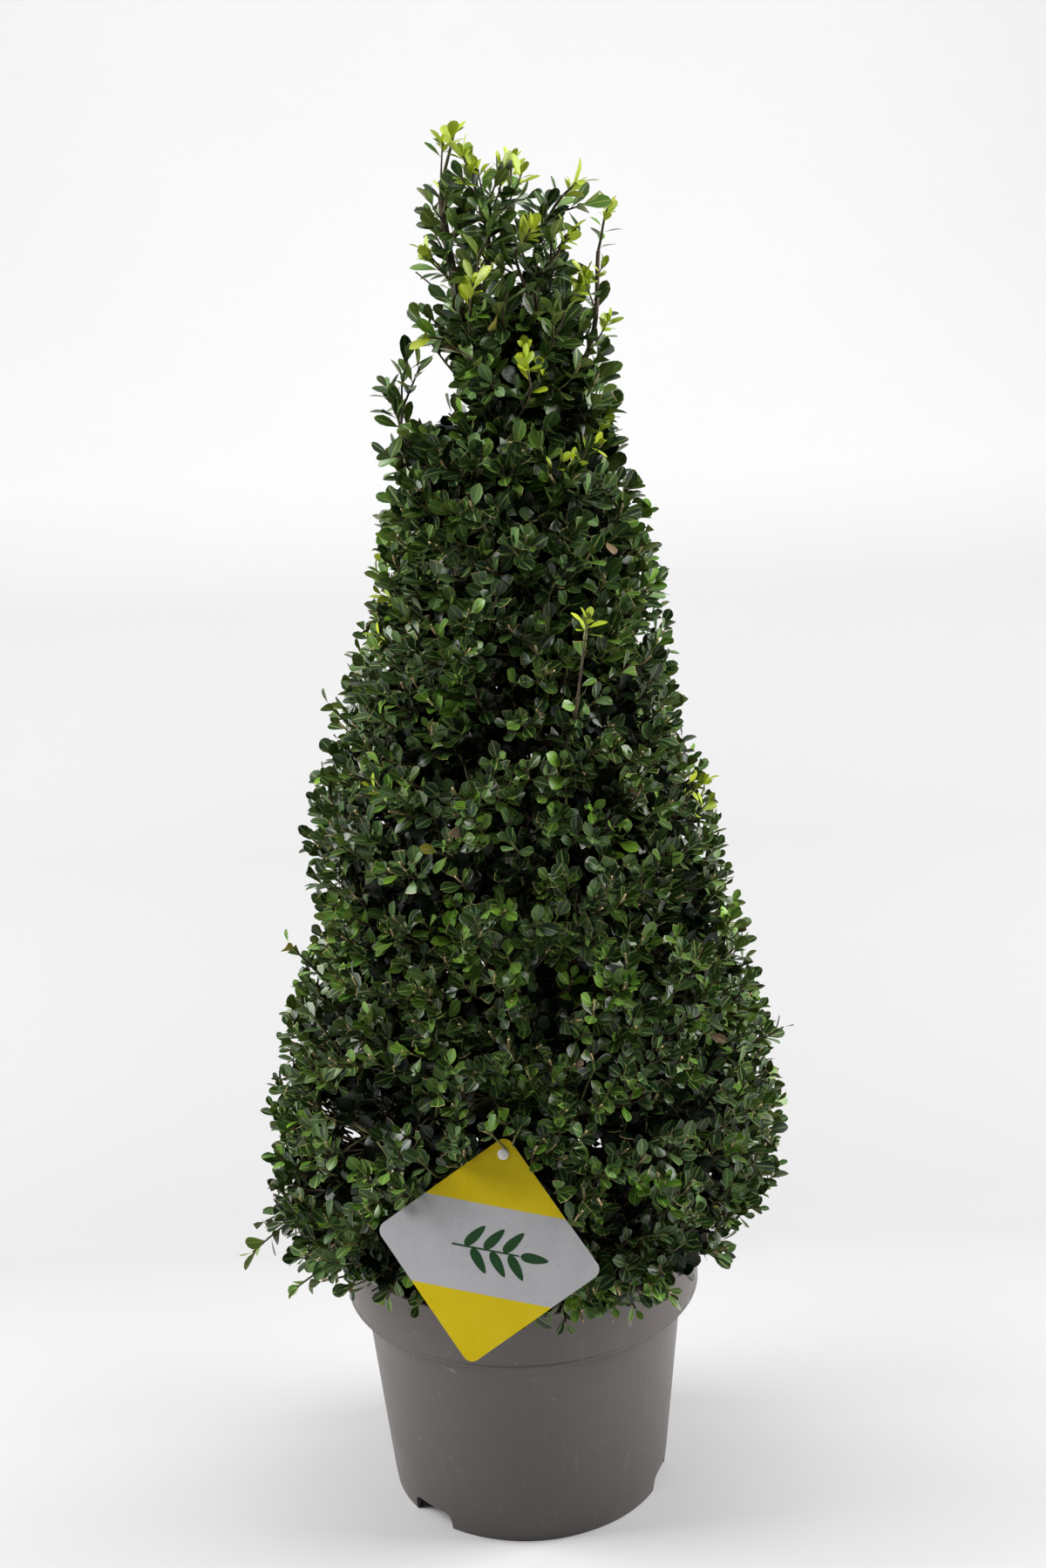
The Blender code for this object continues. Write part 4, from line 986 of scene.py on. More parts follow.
def twig_tree():
    """Turns chains of edges into tapering round twigs, by each point's own radius."""
    if "twigs_on_paths" in bpy.data.node_groups:
        return bpy.data.node_groups["twigs_on_paths"]
    tree, given, out = geometry_tree(
        "twigs_on_paths",
        (
            ("Sides", "NodeSocketInt", 4),
            ("Thickness", "NodeSocketFloat", 1.0),
            ("Material", "NodeSocketMaterial", None),
        ),
    )
    curve = tree.nodes.new("GeometryNodeMeshToCurve")
    radius = tree.nodes.new("GeometryNodeSetCurveRadius")
    thick = add_node(tree, "ShaderNodeMath", operation="MULTIPLY")
    ring = add_node(tree, "GeometryNodeCurvePrimitiveCircle", in_Radius=1.0)
    skin = tree.nodes.new("GeometryNodeCurveToMesh")
    skin.inputs["Fill Caps"].default_value = True
    whole = tree.nodes.new("GeometryNodeRealizeInstances")
    paint = tree.nodes.new("GeometryNodeSetMaterial")
    link(tree, given.outputs["Geometry"], curve.inputs["Mesh"])
    link(tree, named(tree, "thickness", "FLOAT"), thick.inputs[0])
    link(tree, given.outputs["Thickness"], thick.inputs[1])
    link(tree, curve.outputs["Curve"], radius.inputs["Curve"])
    link(tree, thick.outputs[0], radius.inputs["Radius"])
    link(tree, radius.outputs["Curve"], skin.inputs["Curve"])
    link(tree, given.outputs["Sides"], ring.inputs["Resolution"])
    link(tree, ring.outputs["Curve"], skin.inputs["Profile Curve"])
    if "Scale" in skin.inputs:
        link(tree, thick.outputs[0], skin.inputs["Scale"])
    link(tree, skin.outputs["Mesh"], whole.inputs["Geometry"])
    link(tree, whole.outputs["Geometry"], paint.inputs["Geometry"])
    link(tree, given.outputs["Material"], paint.inputs["Material"])
    link(tree, paint.outputs["Geometry"], out.inputs["Geometry"])
    return tree


def grown_mesh(thing, tree, values):
    """Runs a node tree on an object once and keeps the result as its plain mesh."""
    modifier = thing.modifiers.new("grow", "NODES")
    modifier.node_group = tree
    for item in tree.interface.items_tree:
        if item.item_type == "SOCKET" and item.in_out == "INPUT" and item.name in values:
            modifier[item.identifier] = values[item.name]
    graph = bpy.context.evaluated_depsgraph_get()
    graph.update()
    grown = bpy.data.meshes.new_from_object(thing.evaluated_get(graph))
    thing.modifiers.remove(modifier)
    if not grown.polygons:
        raise RuntimeError(thing.name + " came out with no faces")
    paint = values["Material"]
    grown.materials.clear()
    grown.materials.append(paint)
    grown.polygons.foreach_set("material_index", [0] * len(grown.polygons))
    thing.data = grown
    grown.name = thing.name
    return thing


# ---------------------------------------------------------------- growth rule


def row_at(table, z):
    """The values of a table at a height between its rows."""
    if z <= table[0][0]:
        return table[0][1:]
    for low, high in zip(table, table[1:]):
        if z <= high[0]:
            share = (z - low[0]) / (high[0] - low[0])
            return tuple(a + (b - a) * share for a, b in zip(low[1:], high[1:]))
    return table[-1][1:]


def section_at(z):
    """Half the crown's width at a height, and how far its middle is shifted along X."""
    left, right = row_at(CROWN_OUTLINE, z)
    return (left + right) / 2, (right - left) / 2


def along_path(points, share):
    """A point of a smooth curve through points, by a share of its spans."""
    spans = len(points) - 1
    place = min(max(share, 0.0), 1.0) * spans
    index = min(int(place), spans - 1)
    t = place - index
    p1, p2 = Vector(points[index]), Vector(points[index + 1])
    p0 = Vector(points[index - 1]) if index else p1 * 2 - p2
    p3 = Vector(points[index + 2]) if index + 2 <= spans else p2 * 2 - p1
    return 0.5 * (
        p1 * 2 + (p2 - p0) * t + (p0 * 2 - p1 * 5 + p2 * 4 - p3) * t * t + (p1 * 3 - p0 - p2 * 3 + p3) * t**3
    )


def smooth_path(points, steps):
    return [along_path(points, step / steps) for step in range(steps + 1)]


TRUNK_PATH = smooth_path(TRUNK_AXIS, 240)


def trunk_radius(z):
    share = (z - TRUNK_AXIS[0][2]) / (TRUNK_AXIS[-1][2] - TRUNK_AXIS[0][2])
    taper = (1 - min(max(share, 0.0), 1.0)) ** TRUNK_TAPER_POWER
    return TRUNK_TIP_RADIUS + (TRUNK_FOOT_RADIUS - TRUNK_TIP_RADIUS) * taper


def trunk_at(z):
    """The trunk's middle at a height."""
    return min(TRUNK_PATH, key=lambda point: abs(point.z - z)).copy()


def bough_path(name):
    leaves_at, route = BOUGHS[name]
    return smooth_path([trunk_at(leaves_at - 0.004)] + [Vector(point) for point in route], 40)


def middle_height(under, over, reach):
    low = under + CUP_SLOPE * reach if under else CROWN_FLOOR_Z + 0.010
    high = over + CUP_SLOPE * reach if over else 1.000
    return (low + high) / 2


def arm_paths(under, over, turn):
    """A tier's two arms, which leave its stem and run both ways round the trunk."""
    reach = ARM_REACH * (section_at(middle_height(under, over, 0.1))[0] - 0.040)
    z = middle_height(under, over, reach)
    shift = section_at(z)[1]
    arms = []
    for direction in (1, -1):
        angles = [turn + direction * ARM_SWEEP * step / ARM_STEPS for step in range(ARM_STEPS + 1)]
        arms.append([Vector((shift + reach * math.cos(a), reach * math.sin(a), z)) for a in angles])
    return arms


def card_axes():
    turn = CARD_TURN.to_matrix()
    return turn @ Vector((1, 0, 0)), turn @ Vector((0, -1, 0)), turn @ Vector((0, 0, 1))


def near_segment(point, start, end, radius):
    start, end = Vector(start), Vector(end)
    along = end - start
    share = min(max((point - start).dot(along) / along.length_squared, 0.0), 1.0)
    return (point - start - along * share).length < radius


def is_free(point, hangs=0.0):
    """Whether a leaf's point keeps clear of pot, soil, card and sky gaps, and over the hem."""
    reach = math.hypot(point.x, point.y)
    if point.z < POT_HEIGHT + 0.0015 and reach < POT_RADIUS + 0.002 and reach > POT_RADIUS - 0.0075:
        return False
    if point.z < SOIL_Z + 0.006 and reach < POT_RADIUS:
        return False
    if point.z < row_at(SKIRT_HEM, math.degrees(math.atan2(point.y, point.x)))[0] - hangs:
        return False
    right, forward, up = CARD_AXES
    away = point - CARD_CENTRE
    if abs(away.dot(right)) + abs(away.dot(up)) < CARD_SIDE / math.sqrt(2) + CARD_CLEAR:
        if away.dot(forward) > -CARD_CLEAR - 0.003:
            return False
    return not any(near_segment(point, *gap) for gap in SKY_GAPS)


CARD_AXES = card_axes()


class Growth:
    """The plant's twigs, as chains of points with radii, and its leaves, as placed shapes."""

    def __init__(self, settings):
        self.settings = settings
        self.chance = random.Random(settings.seed)
        self.chains = {kind: {} for kind in ("old", "young", "cut")}
        self.leaves = {kind: {} for kind in LEAF_KINDS}
        self.zone = "foliage_skirt"
        self.hangs = 0.0
        self.slim = False

    def chain(self, path, start, end, kind="old"):
        last = len(path) - 1
        radii = [start + (end - start) * index / last for index in range(last + 1)]
        self.chains[kind].setdefault(self.zone, []).append((path, radii))

    def leaf(self, kind, root, heading, face, length):
        """A leaf from its root along a heading, its upper side towards a face direction."""
        chance = self.chance
        heading = heading.normalized()
        side = heading.cross(face)
        if side.length < 1e-6:
            return
        side.normalize()
        upper = side.cross(heading)
        if kind == "new" or self.slim:
            shape = chance.choice(SLIM_SHAPES)
        else:
            shape = chance.choice(CUT_SHAPES if chance.random() < 0.26 else FULL_SHAPES)
        if not all(is_free(root + heading * length * share, self.hangs) for share in (0.25, 0.65, 1.0)):
            return
        turn = Matrix((side, heading, upper)).transposed().to_euler()
        tone = chance.random() ** 2.4
        if kind == "dark" and chance.random() < 0.006 or kind == "mid" and chance.random() < 0.003:
            kind = "dry"
        low_right = root.x > 0.10 and root.z < 0.40
        if kind == "mid" and chance.random() < (0.03 if low_right else 0.0015):
            kind = "yellowed"
        self.leaves[kind].setdefault(self.zone, []).append((root, turn, length, shape, tone))

    def leaves_along(self, path, count, bare, length, kinds, out, pitch=None):
        """Leaves up a shoot, turned by the golden angle; the nearest the tip stand the steepest."""
        chance = self.chance
        turn = chance.uniform(0, 2 * math.pi)
        total = sum((b - a).length for a, b in zip(path, path[1:]))
        for number in range(count):
            if pitch:
                share = 1 - number * pitch * chance.uniform(0.85, 1.15) / total
            else:
                share = 1 - (1 - bare) * number / max(count - 1, 1)
            if share < 0:
                break
            root, heading = at_share(path, share)
            across = heading.cross(out)
            if across.length < 1e-6:
                across = heading.cross(Vector((1, 0, 0)))
            across.normalize()
            lift = across.cross(heading)
            turn += GOLDEN_ANGLE
            aside = across * math.cos(turn) + lift * math.sin(turn)
            spread = math.radians(24 + 44 * min(number / 5, 1) + chance.uniform(-9, 9))
            pointing = heading * math.cos(spread) + aside * math.sin(spread)
            jitter = Vector((chance.uniform(-1, 1), chance.uniform(-1, 1), chance.uniform(-1, 1)))
            face = heading * math.sin(spread) - aside * math.cos(spread)
            face = face + UP * 0.40 + out * 0.35 + jitter * 0.30
            size = length * chance.uniform(0.80, 1.12) * (0.72 if number == 0 else 1.0)
            self.leaf(kinds[min(number, len(kinds) - 1)], root, pointing, face, size)


def at_share(path, share):
    """A point at a share of a path's length, and the path's heading there."""
    lengths = [(b - a).length for a, b in zip(path, path[1:])]
    rest = share * sum(lengths)
    for (start, end), length in zip(zip(path, path[1:]), lengths):
        if rest <= length:
            return start.lerp(end, rest / length), (end - start).normalized()
        rest -= length
    return path[-1].copy(), (path[-1] - path[-2]).normalized()


def kind_for(chance, place, depth):
    """The kind of leaf of one shoot: patches of like green, and a darker green inside the crown, which is
    painted shade.
    """
    patch = noise.noise(place * 9.0) * 0.35 + chance.uniform(-0.5, 0.5)
    if depth > 0.022:
        return "shade"
    if patch < -0.14:
        return "dark"
    if patch < 0.22:
        return "mid"
    return "cool" if chance.random() < 0.80 else "fresh"


def nearest(nodes, place, least):
    """The node nearest a place that leaves room for a twig of some length."""
    far_enough = [node for node in nodes if (node - place).length > least] or nodes
    return min(far_enough, key=lambda node: (node - place).length)


def spiral(low, high, density, chance):
    """Heights and angles spread evenly over the crown's outline by the golden angle."""
    z, angle = low, chance.uniform(0, 2 * math.pi)
    while z < high:
        z += 1 / (density * 2 * math.pi * max(section_at(z)[0], 0.035))
        angle += GOLDEN_ANGLE
        yield z + chance.uniform(-0.010, 0.010), angle + chance.uniform(-0.10, 0.10)


def crown_place(z, angle, depth):
    """The point of the crown's uneven outline at a height and angle, taken in by a depth."""
    reach, shift = section_at(z)
    out = Vector((math.cos(angle), math.sin(angle), 0))
    uneven = 0.0045 * noise.noise(Vector((math.cos(angle) * 2.2, math.sin(angle) * 2.2, z * 13)))
    return Vector((shift, 0, z)) + out * max(reach + uneven - depth, 0.004), out


def tier_of(point):
    """The tier whose cups hold a point of the crown."""
    shift = section_at(point.z)[1]
    rise = CUP_SLOPE * math.hypot(point.x - shift, point.y)
    for name, (_, over, _) in TIERS.items():
        if over is None or point.z < over + rise:
            return name


def grow_limbs(growth):
    """Stems and arms of the tiers, then the branches that reach from them under the outline."""
    chance = growth.chance
    nodes = []
    for name, (under, over, turn) in TIERS.items():
        growth.zone = name
        arms = arm_paths(under, over, turn)
        stem_z = middle_height(under, over, TRUNK_FOOT_RADIUS)
        stem = [trunk_at(stem_z), trunk_at(stem_z).lerp(arms[0][0], 0.5) + UP * 0.004, arms[0][0]]
        growth.chain(smooth_path(stem, 8), 0.0036, ARM_RADIUS)
        for arm in arms:
            growth.chain(smooth_path(arm, 15), ARM_RADIUS, 0.0018)
            nodes += smooth_path(arm, 15)
    limbs = nodes + [point for name in BOUGHS for point in bough_path(name)[10::6]]
    limbs += [point for point in TRUNK_PATH if point.z > 0.80][::8]
    branches = []
    for z, angle in spiral(CROWN_FLOOR_Z, CROWN_TOP_Z, 200.0, chance):
        end, out = crown_place(z, angle, min(0.056, 0.62 * section_at(z)[0]))
        growth.zone = tier_of(end)
        end.z += chance.uniform(-0.012, 0.004)
        foot = nearest(limbs, end - UP * 0.030, 0.02)
        middle = foot.lerp(end, 0.5) + out * 0.006 - UP * 0.004
        path = smooth_path([foot, middle, end], 5)
        growth.chain(path, 0.0021, 0.0013)
        branches += [path[3], path[4], path[5]]
    return branches


def grow_crown(growth):
    """The shoots that make the clipped crown, with their leaves."""
    chance = growth.chance
    settings = growth.settings
    length = settings.leaf_length
    branches = grow_limbs(growth)
    shoots = []
    for z, angle in spiral(CROWN_FLOOR_Z, CROWN_TOP_Z, settings.shoots, chance):
        depth = chance.uniform(0, 0.006) if chance.random() < 0.65 else chance.uniform(0.006, 0.024)
        pocket = noise.noise(crown_place(z, angle, 0.0)[0] * POCKET_SCALE)
        depth += max(pocket - POCKET_FROM, 0.0) * POCKET_DEPTH
        shoots.append((z, angle, depth, 6 + chance.randrange(4)))
    for z, angle in spiral(CROWN_FLOOR_Z + 0.01, CROWN_TOP_Z - 0.03, settings.inner_shoots, chance):
        shoots.append((z, angle, chance.uniform(0.024, 0.085), 6))
    grown = []
    for z, angle, depth, count in shoots:
        tip, out = crown_place(z, angle, depth)
        lift = math.radians(42) + chance.uniform(-0.32, 0.32)
        if z < 0.315:
            lift -= math.radians(50) * min((0.315 - z) / 0.030, 1)
        aside = out.cross(UP) * chance.uniform(-0.35, 0.35)
        heading = (out * math.cos(lift) + UP * math.sin(lift) + aside).normalized()
        end = tip - heading * length * 0.62
        if not is_free(end):
            continue
        node = nearest(branches, end - heading * 0.035, 0.012)
        elbow = end - heading * 0.024
        path = smooth_path([node, node.lerp(elbow, 0.6) + UP * 0.002, elbow, end], 5)
        grown.append((path, tip, out, depth, count))
    young = set()
    for place, count in YOUNG_SPRAYS:
        near = sorted(range(len(grown)), key=lambda i: (grown[i][1] - Vector(place)).length + grown[i][3])
        young.update(near[:count])
    for index, (path, tip, out, depth, count) in enumerate(grown):
        growth.zone = tier_of(tip)
        kind = kind_for(chance, tip, depth)
        if index in young:
            growth.chain(path, 0.0011, 0.0008, "young")
            mix = ("new",) * 5 + ("fresh",) * 2
            growth.leaves_along(path, 9, 0, length * 0.82, mix, out, LEAF_PITCH["young"])
            continue
        growth.chain(path, 0.0012, 0.0008, "young" if chance.random() < 0.60 and depth < 0.02 else "old")
        tall = length * (1.25 if depth > 0.024 else 1.0)
        tall *= 1 + NECK_LEAF_GROWTH * min(max((tip.z - 0.80) / 0.15, 0), 1)
        growth.leaves_along(path, count, 0, tall, (kind,), out, LEAF_PITCH["crown"])
        if depth < 0.012 and chance.random() < 0.36:
            root, heading = at_share(path, 0.88)
            side = heading.cross(out).normalized() * chance.uniform(-0.5, 0.5)
            stub = (heading + side + UP * 0.1).normalized() * chance.uniform(0.007, 0.014)
            growth.chain([root, root + stub], 0.0010, 0.0009, "cut")


def grow_underside(growth):
    """Short shoots that hang under the skirt, and the sprigs that droop over the pot's rim."""
    chance = growth.chance
    length = growth.settings.leaf_length
    growth.zone = "foliage_skirt"
    arms = arm_paths(*TIERS["foliage_skirt"])
    nodes = [point for arm in arms for point in smooth_path(arm, 15)]
    for number in range(260):
        reach = math.sqrt(0.0036 + (0.0400 - 0.0036) * (number + 0.5) / 260)
        angle = number * GOLDEN_ANGLE + chance.uniform(-0.1, 0.1)
        out = Vector((math.cos(angle), math.sin(angle), 0))
        hem = row_at(SKIRT_HEM, math.degrees(math.atan2(out.y, out.x)))[0]
        end = out * reach + UP * (hem + chance.uniform(0.008, 0.026))
        node = nearest(nodes, end, 0.02)
        path = smooth_path([node, node.lerp(end, 0.6) + UP * 0.004, end], 4)
        growth.chain(path, 0.0014, 0.0008)
        downwards = (out - UP * 0.6).normalized()
        # The leaves under the skirt take the darker green of painted shade
        growth.leaves_along(path, 6, 0, length, ("shade",), downwards, LEAF_PITCH["hem"])
    growth.hangs = 0.030
    for place, count in HANGING_SPRIGS:
        end = Vector(place)
        out = Vector((end.x, end.y, 0)).normalized()
        start = out * 0.165 + UP * (end.z + 0.022)
        path = smooth_path([nearest(nodes, start, 0.02), start, end], 6)
        growth.chain(path, 0.0012, 0.0008)
        upwards = (out + UP * 0.3).normalized()
        growth.leaves_along(path, count, 0, length * 0.9, ("mid",), upwards, LEAF_PITCH["sprig"])
    growth.hangs = 0.0


def grow_long_shoots(growth):
    """Shoots that the shears have missed, with leaves along their outer part."""
    growth.hangs = 0.030
    for route, length, count, kind in LONG_SHOOTS:
        route = [Vector(point) for point in route]
        heading = route[-1] - route[0]
        out = Vector((heading.x, heading.y, 0.001)).normalized()
        path = smooth_path(route, 8)
        growth.chain(path, 0.0015, 0.0008, "young" if kind == "new" else "old")
        growth.zone = tier_of(path[-1])
        growth.leaves_along(path, count, 0.22, length, (kind,), out)
    growth.hangs = 0.0


def grow_side_shoots(growth, path, low, high, count, length, young_share):
    """Leafy side shoots that rise from a stem, turned round it by the golden angle."""
    chance = growth.chance
    turn = chance.uniform(0, 2 * math.pi)
    for number in range(count):
        share = low + (high - low) * (number + 0.5) / count
        root, heading = at_share(path, share)
        turn += GOLDEN_ANGLE
        across = heading.cross(Vector((0, 1, 0.1))).normalized()
        aside = across * math.cos(turn) + across.cross(heading) * math.sin(turn)
        rise = math.radians(chance.uniform(34, 52))
        reach = chance.uniform(0.012, 0.026)
        middle = root + (heading * math.cos(rise) + aside * math.sin(rise)) * reach * 0.6
        end = middle + (heading * 0.8 + aside * 0.6).normalized() * reach * 0.5
        shoot = smooth_path([root, middle, end], 4)
        growth.chain(shoot, 0.0010, 0.0007, "young" if chance.random() < 0.4 else "old")
        out = Vector((aside.x, aside.y - 0.4, 0.3)).normalized()
        kind = chance.choice(("mid", "mid", "cool", "dark"))
        kinds = ("new", "new", "fresh", kind) if chance.random() < young_share else (kind,)
        leaves = 5 + chance.randrange(3)
        growth.leaves_along(shoot, leaves, 0, length, kinds, out, LEAF_PITCH["side"])


def grow_top(growth):
    """The loose top: bare stems with large leaves and bright young tips."""
    chance = growth.chance
    growth.zone = "loose_top"
    growth.slim = True
    limbs = [TRUNK_PATH[-1]] + [point for point in TRUNK_PATH if point.z > 0.93][::6]
    limbs += [point for name in BOUGHS for point in bough_path(name)[20::4]]
    for route, radius, length, count, bare, young, sides in TOP_STEMS:
        route = [Vector(point) for point in route]
        foot = min(limbs, key=lambda point: (point - route[0]).length)
        if (foot - route[0]).length > 0.0015:
            route.insert(0, foot)
        path = smooth_path(route, 12)
        limbs += path[2:]
        growth.chain(path, radius, radius * 0.6)
        out = Vector((path[-1].x - 0.015, path[-1].y - 0.02, 0.02)).normalized()
        main = chance.choice(("mid", "mid", "cool", "dark"))
        kinds = ("new", "new", "new", "new", "fresh", main) if young else (main,)
        growth.leaves_along(path, count, bare, length, kinds, out)
        if young:
            growth.leaves_along(path, 7, 0, length * 0.54, ("new",), out, LEAF_PITCH["tuft"])
        grow_side_shoots(growth, path, 0.15, 0.75, sides, length, 0.12)
    low, high, count = TRUNK_TOP_SHOOTS
    leafy = [point for point in TRUNK_PATH if low < point.z < high]
    grow_side_shoots(growth, leafy, 0.0, 1.0, count, 0.024, 0.10)
    for name, count in BOUGH_SHOOTS.items():
        grow_side_shoots(growth, bough_path(name), 0.55, 0.97, count, 0.023, 0.0)


# ---------------------------------------------------------------- growth to meshes


# A leaf's rows from the foot of its stalk to its tip, and half its stalk's width, in leaf lengths
LEAF_ROWS = (0.0, 0.12, 0.26, 0.50, 0.74, 0.92, 1.0)
STALK_HALF = 0.020
# The blade's outline: the first moves its widest place to the tip, the second fills its ends
BLADE_SKEW = 1.45
BLADE_ROUNDNESS = 0.62


def blade_half_width(v, width):
    """Half the blade's width at a share of the leaf's length, never under the stalk's."""
    share = max((v - LEAF_ROWS[1]) / (1 - LEAF_ROWS[1]), 0.0)
    bulge = max(math.sin(math.pi * share**BLADE_SKEW), 0.0) ** BLADE_ROUNDNESS
    return max(width / 2 * bulge, STALK_HALF)


def leaf_shapes():
    """A collection of leaf shapes one unit long, with their own maps across and along."""
    if "leaf_shapes" in bpy.data.collections:
        return bpy.data.collections["leaf_shapes"]
    shapes = bpy.data.collections.new("leaf_shapes")
    for number, (width, cup, droop, twist, kept) in enumerate(LEAF_SHAPES):
        cut = kept < 1.0
        points, maps, faces = [], [], []
        rows = LEAF_ROWS if not cut else [v for v in LEAF_ROWS if v < kept - 0.05] + [kept]
        for v in rows:
            tip = v == 1.0
            for column in (0,) if tip else (-1, 0, 1):
                half = blade_half_width(v, width)
                x = column * half
                z = cup * half * column * column - droop * v * v + twist * column * v * half
                if cut and v == kept and column:
                    v_here = v - 0.03 * column
                else:
                    v_here = v
                points.append((x, v_here, z))
                maps.append((0.5 + 0.5 * column, 1.0 if cut and v == kept else min(v, 0.955)))
        for row in range(len(rows) - 1):
            start = 3 * row
            if rows[row + 1] == 1.0:
                faces += [(start, start + 1, start + 3), (start + 1, start + 2, start + 3)]
            else:
                faces += [(c, c + 1, c + 4, c + 3) for c in (start, start + 1)]
        mesh = bpy.data.meshes.new("leaf_shape_%02d" % number)
        mesh.from_pydata(points, [], faces)
        own = mesh.uv_layers.new(name="leaf_map")
        for corner, loop in enumerate(mesh.loops):
            own.data[corner].uv = maps[loop.vertex_index]
        mesh.polygons.foreach_set("use_smooth", [True] * len(mesh.polygons))
        shapes.objects.link(bpy.data.objects.new(mesh.name, mesh))
    return shapes


def points_object(name, points, floats=(), vectors=(), numbers=(), edges=()):
    """A mesh of bare points, or of chains of edges, with named values on its points."""
    mesh = bpy.data.meshes.new(name)
    mesh.from_pydata(points, list(edges), [])
    for label, values in floats:
        mesh.attributes.new(label, "FLOAT", "POINT").data.foreach_set("value", values)
    for label, values in numbers:
        mesh.attributes.new(label, "INT", "POINT").data.foreach_set("value", values)
    for label, values in vectors:
        flat = [number for value in values for number in value]
        mesh.attributes.new(label, "FLOAT_VECTOR", "POINT").data.foreach_set("vector", flat)
    thing = bpy.data.objects.new(name, mesh)
    bpy.context.scene.collection.objects.link(thing)
    return thing


def leaves_piece(name, kind, placed, settings):
    """One kind of leaf of one tier, or of the whole plant, as a plain mesh."""
    roots, turns, lengths, shapes, tones = zip(*placed)
    thing = points_object(
        name,
        [tuple(root) for root in roots],
        floats=(("size", lengths), ("tone", tones)),
        numbers=(("shape", shapes),),
        vectors=(("turn", [tuple(turn) for turn in turns]),),
    )
    values = {
        "Shapes": leaf_shapes(),
        "Length": 1.0,
        "Length play": 0.04,
        "Seed": settings.seed,
        "Material": bpy.data.materials.get("leaf_" + kind) or leaf_material(kind),
    }
    return grown_mesh(thing, scatter_tree(), values)


def zoned(name, parts, apart):
    """Names and contents of the pieces of one kind: one for each zone, or one for all."""
    if apart:
        return [(name + "_" + zone.replace("foliage_", ""), found) for zone, found in parts.items()]
    return [(name, [item for found in parts.values() for item in found])]


# Kinds of leaf with a piece for each tier
LARGE_KINDS = ("shade", "dark", "mid", "cool")

# The piece that stands for each solid of foliage
REPLACED_BY = {"leaves_mid_" + tier.replace("foliage_", ""): (tier,) for tier in TIERS}
REPLACED_BY["leaves_mid_loose_top"] = LOOSE_MASSES


def twigs_piece(name, chains, sides, paint):
    """Chains of points as one mesh of tapering twigs."""
    points, radii, edges = [], [], []
    for path, widths in chains:
        first = len(points)
        points += [tuple(point) for point in path]
        radii += widths
        edges += [(first + index, first + index + 1) for index in range(len(path) - 1)]
    thing = points_object(name, points, floats=(("thickness", radii),), edges=edges)
    return grown_mesh(thing, twig_tree(), {"Sides": sides, "Thickness": 1.0, "Material": paint})


# ---------------------------------------------------------------- bark


def bark_ring(centre, across, up, radius, sides, relief, seed, flare=0.0):
    ring = []
    for side in range(sides):
        angle = 2 * math.pi * side / sides
        out = across * math.cos(angle) + up * math.sin(angle)
        place = centre + out * radius
        ridge = noise.noise(Vector((out.x * 3.1 + seed, out.y * 3.1, centre.z * 17)))
        fine = noise.noise(Vector((out.x * 9 + seed, out.y * 9, centre.z * 60)))
        lobe = 0.5 + 0.5 * math.cos(5 * angle + 0.6)
        swell = flare * (0.35 + 0.65 * lobe)
        scale = min(radius / 0.008, 1.0)
        ring.append(place + out * ((ridge + 0.6 * fine) * relief * scale * 1.6 + swell))
    return ring


def bark_limb(path, radii, sides, relief, seed, flares=None):
    """Points and faces of a limb with bark relief, closed at both ends."""
    points, faces = [], []
    across = None
    for index, (centre, radius) in enumerate(zip(path, radii)):
        ahead = (path[min(index + 1, len(path) - 1)] - path[max(index - 1, 0)]).normalized()
        if across is None:
            across = ahead.cross(Vector((0.31, 0.95, 0.02))).normalized()
        across = (across - ahead * across.dot(ahead)).normalized()
        up = ahead.cross(across)
        flare = flares[index] if flares else 0.0
        points += bark_ring(centre, across, up, radius, sides, relief, seed, flare)
    for row in range(len(path) - 1):
        for side in range(sides):
            after = (side + 1) % sides
            low, high = row * sides, (row + 1) * sides
            faces.append((low + side, low + after, high + after, high + side))
    for start, centre, turn in ((0, path[0], -1), ((len(path) - 1) * sides, path[-1], 1)):
        points.append(centre)
        for side in range(sides):
            after = (side + 1) % sides
            face = (start + side, start + after, len(points) - 1)
            faces.append(face if turn == 1 else face[::-1])
    return points, faces


def build_bark(settings):
    """Trunk and boughs as one mesh with bark relief."""
    paint = bark_material(settings)
    points, faces = [], []

    def add(part):
        first = len(points)
        points.extend(part[0])
        faces.extend(tuple(first + index for index in face) for face in part[1])

    path = [point.copy() for point in TRUNK_PATH]
    path.insert(0, path[0] - UP * 0.0025)
    radii = [trunk_radius(point.z) for point in path]
    flares = [FLARE_SPREAD * math.exp(-max(point.z - SOIL_Z, 0) / FLARE_HEIGHT) for point in path]
    add(bark_limb(path, radii, 30, settings.relief, 0.0, flares))
    for number, name in enumerate(BOUGHS):
        path = bough_path(name)
        last = len(path) - 1
        radii = [
            BOUGH_FOOT_RADIUS + (BOUGH_TIP_RADIUS - BOUGH_FOOT_RADIUS) * index / last
            for index in range(last + 1)
        ]
        add(bark_limb(path, radii, 14, settings.relief, 5.0 + number))
    thing = mesh_object("trunk_bark", points, faces, [paint])
    turn_outwards(thing)
    return keep(thing, "bark", "trunk", *BOUGHS)


# ---------------------------------------------------------------- pot and soil


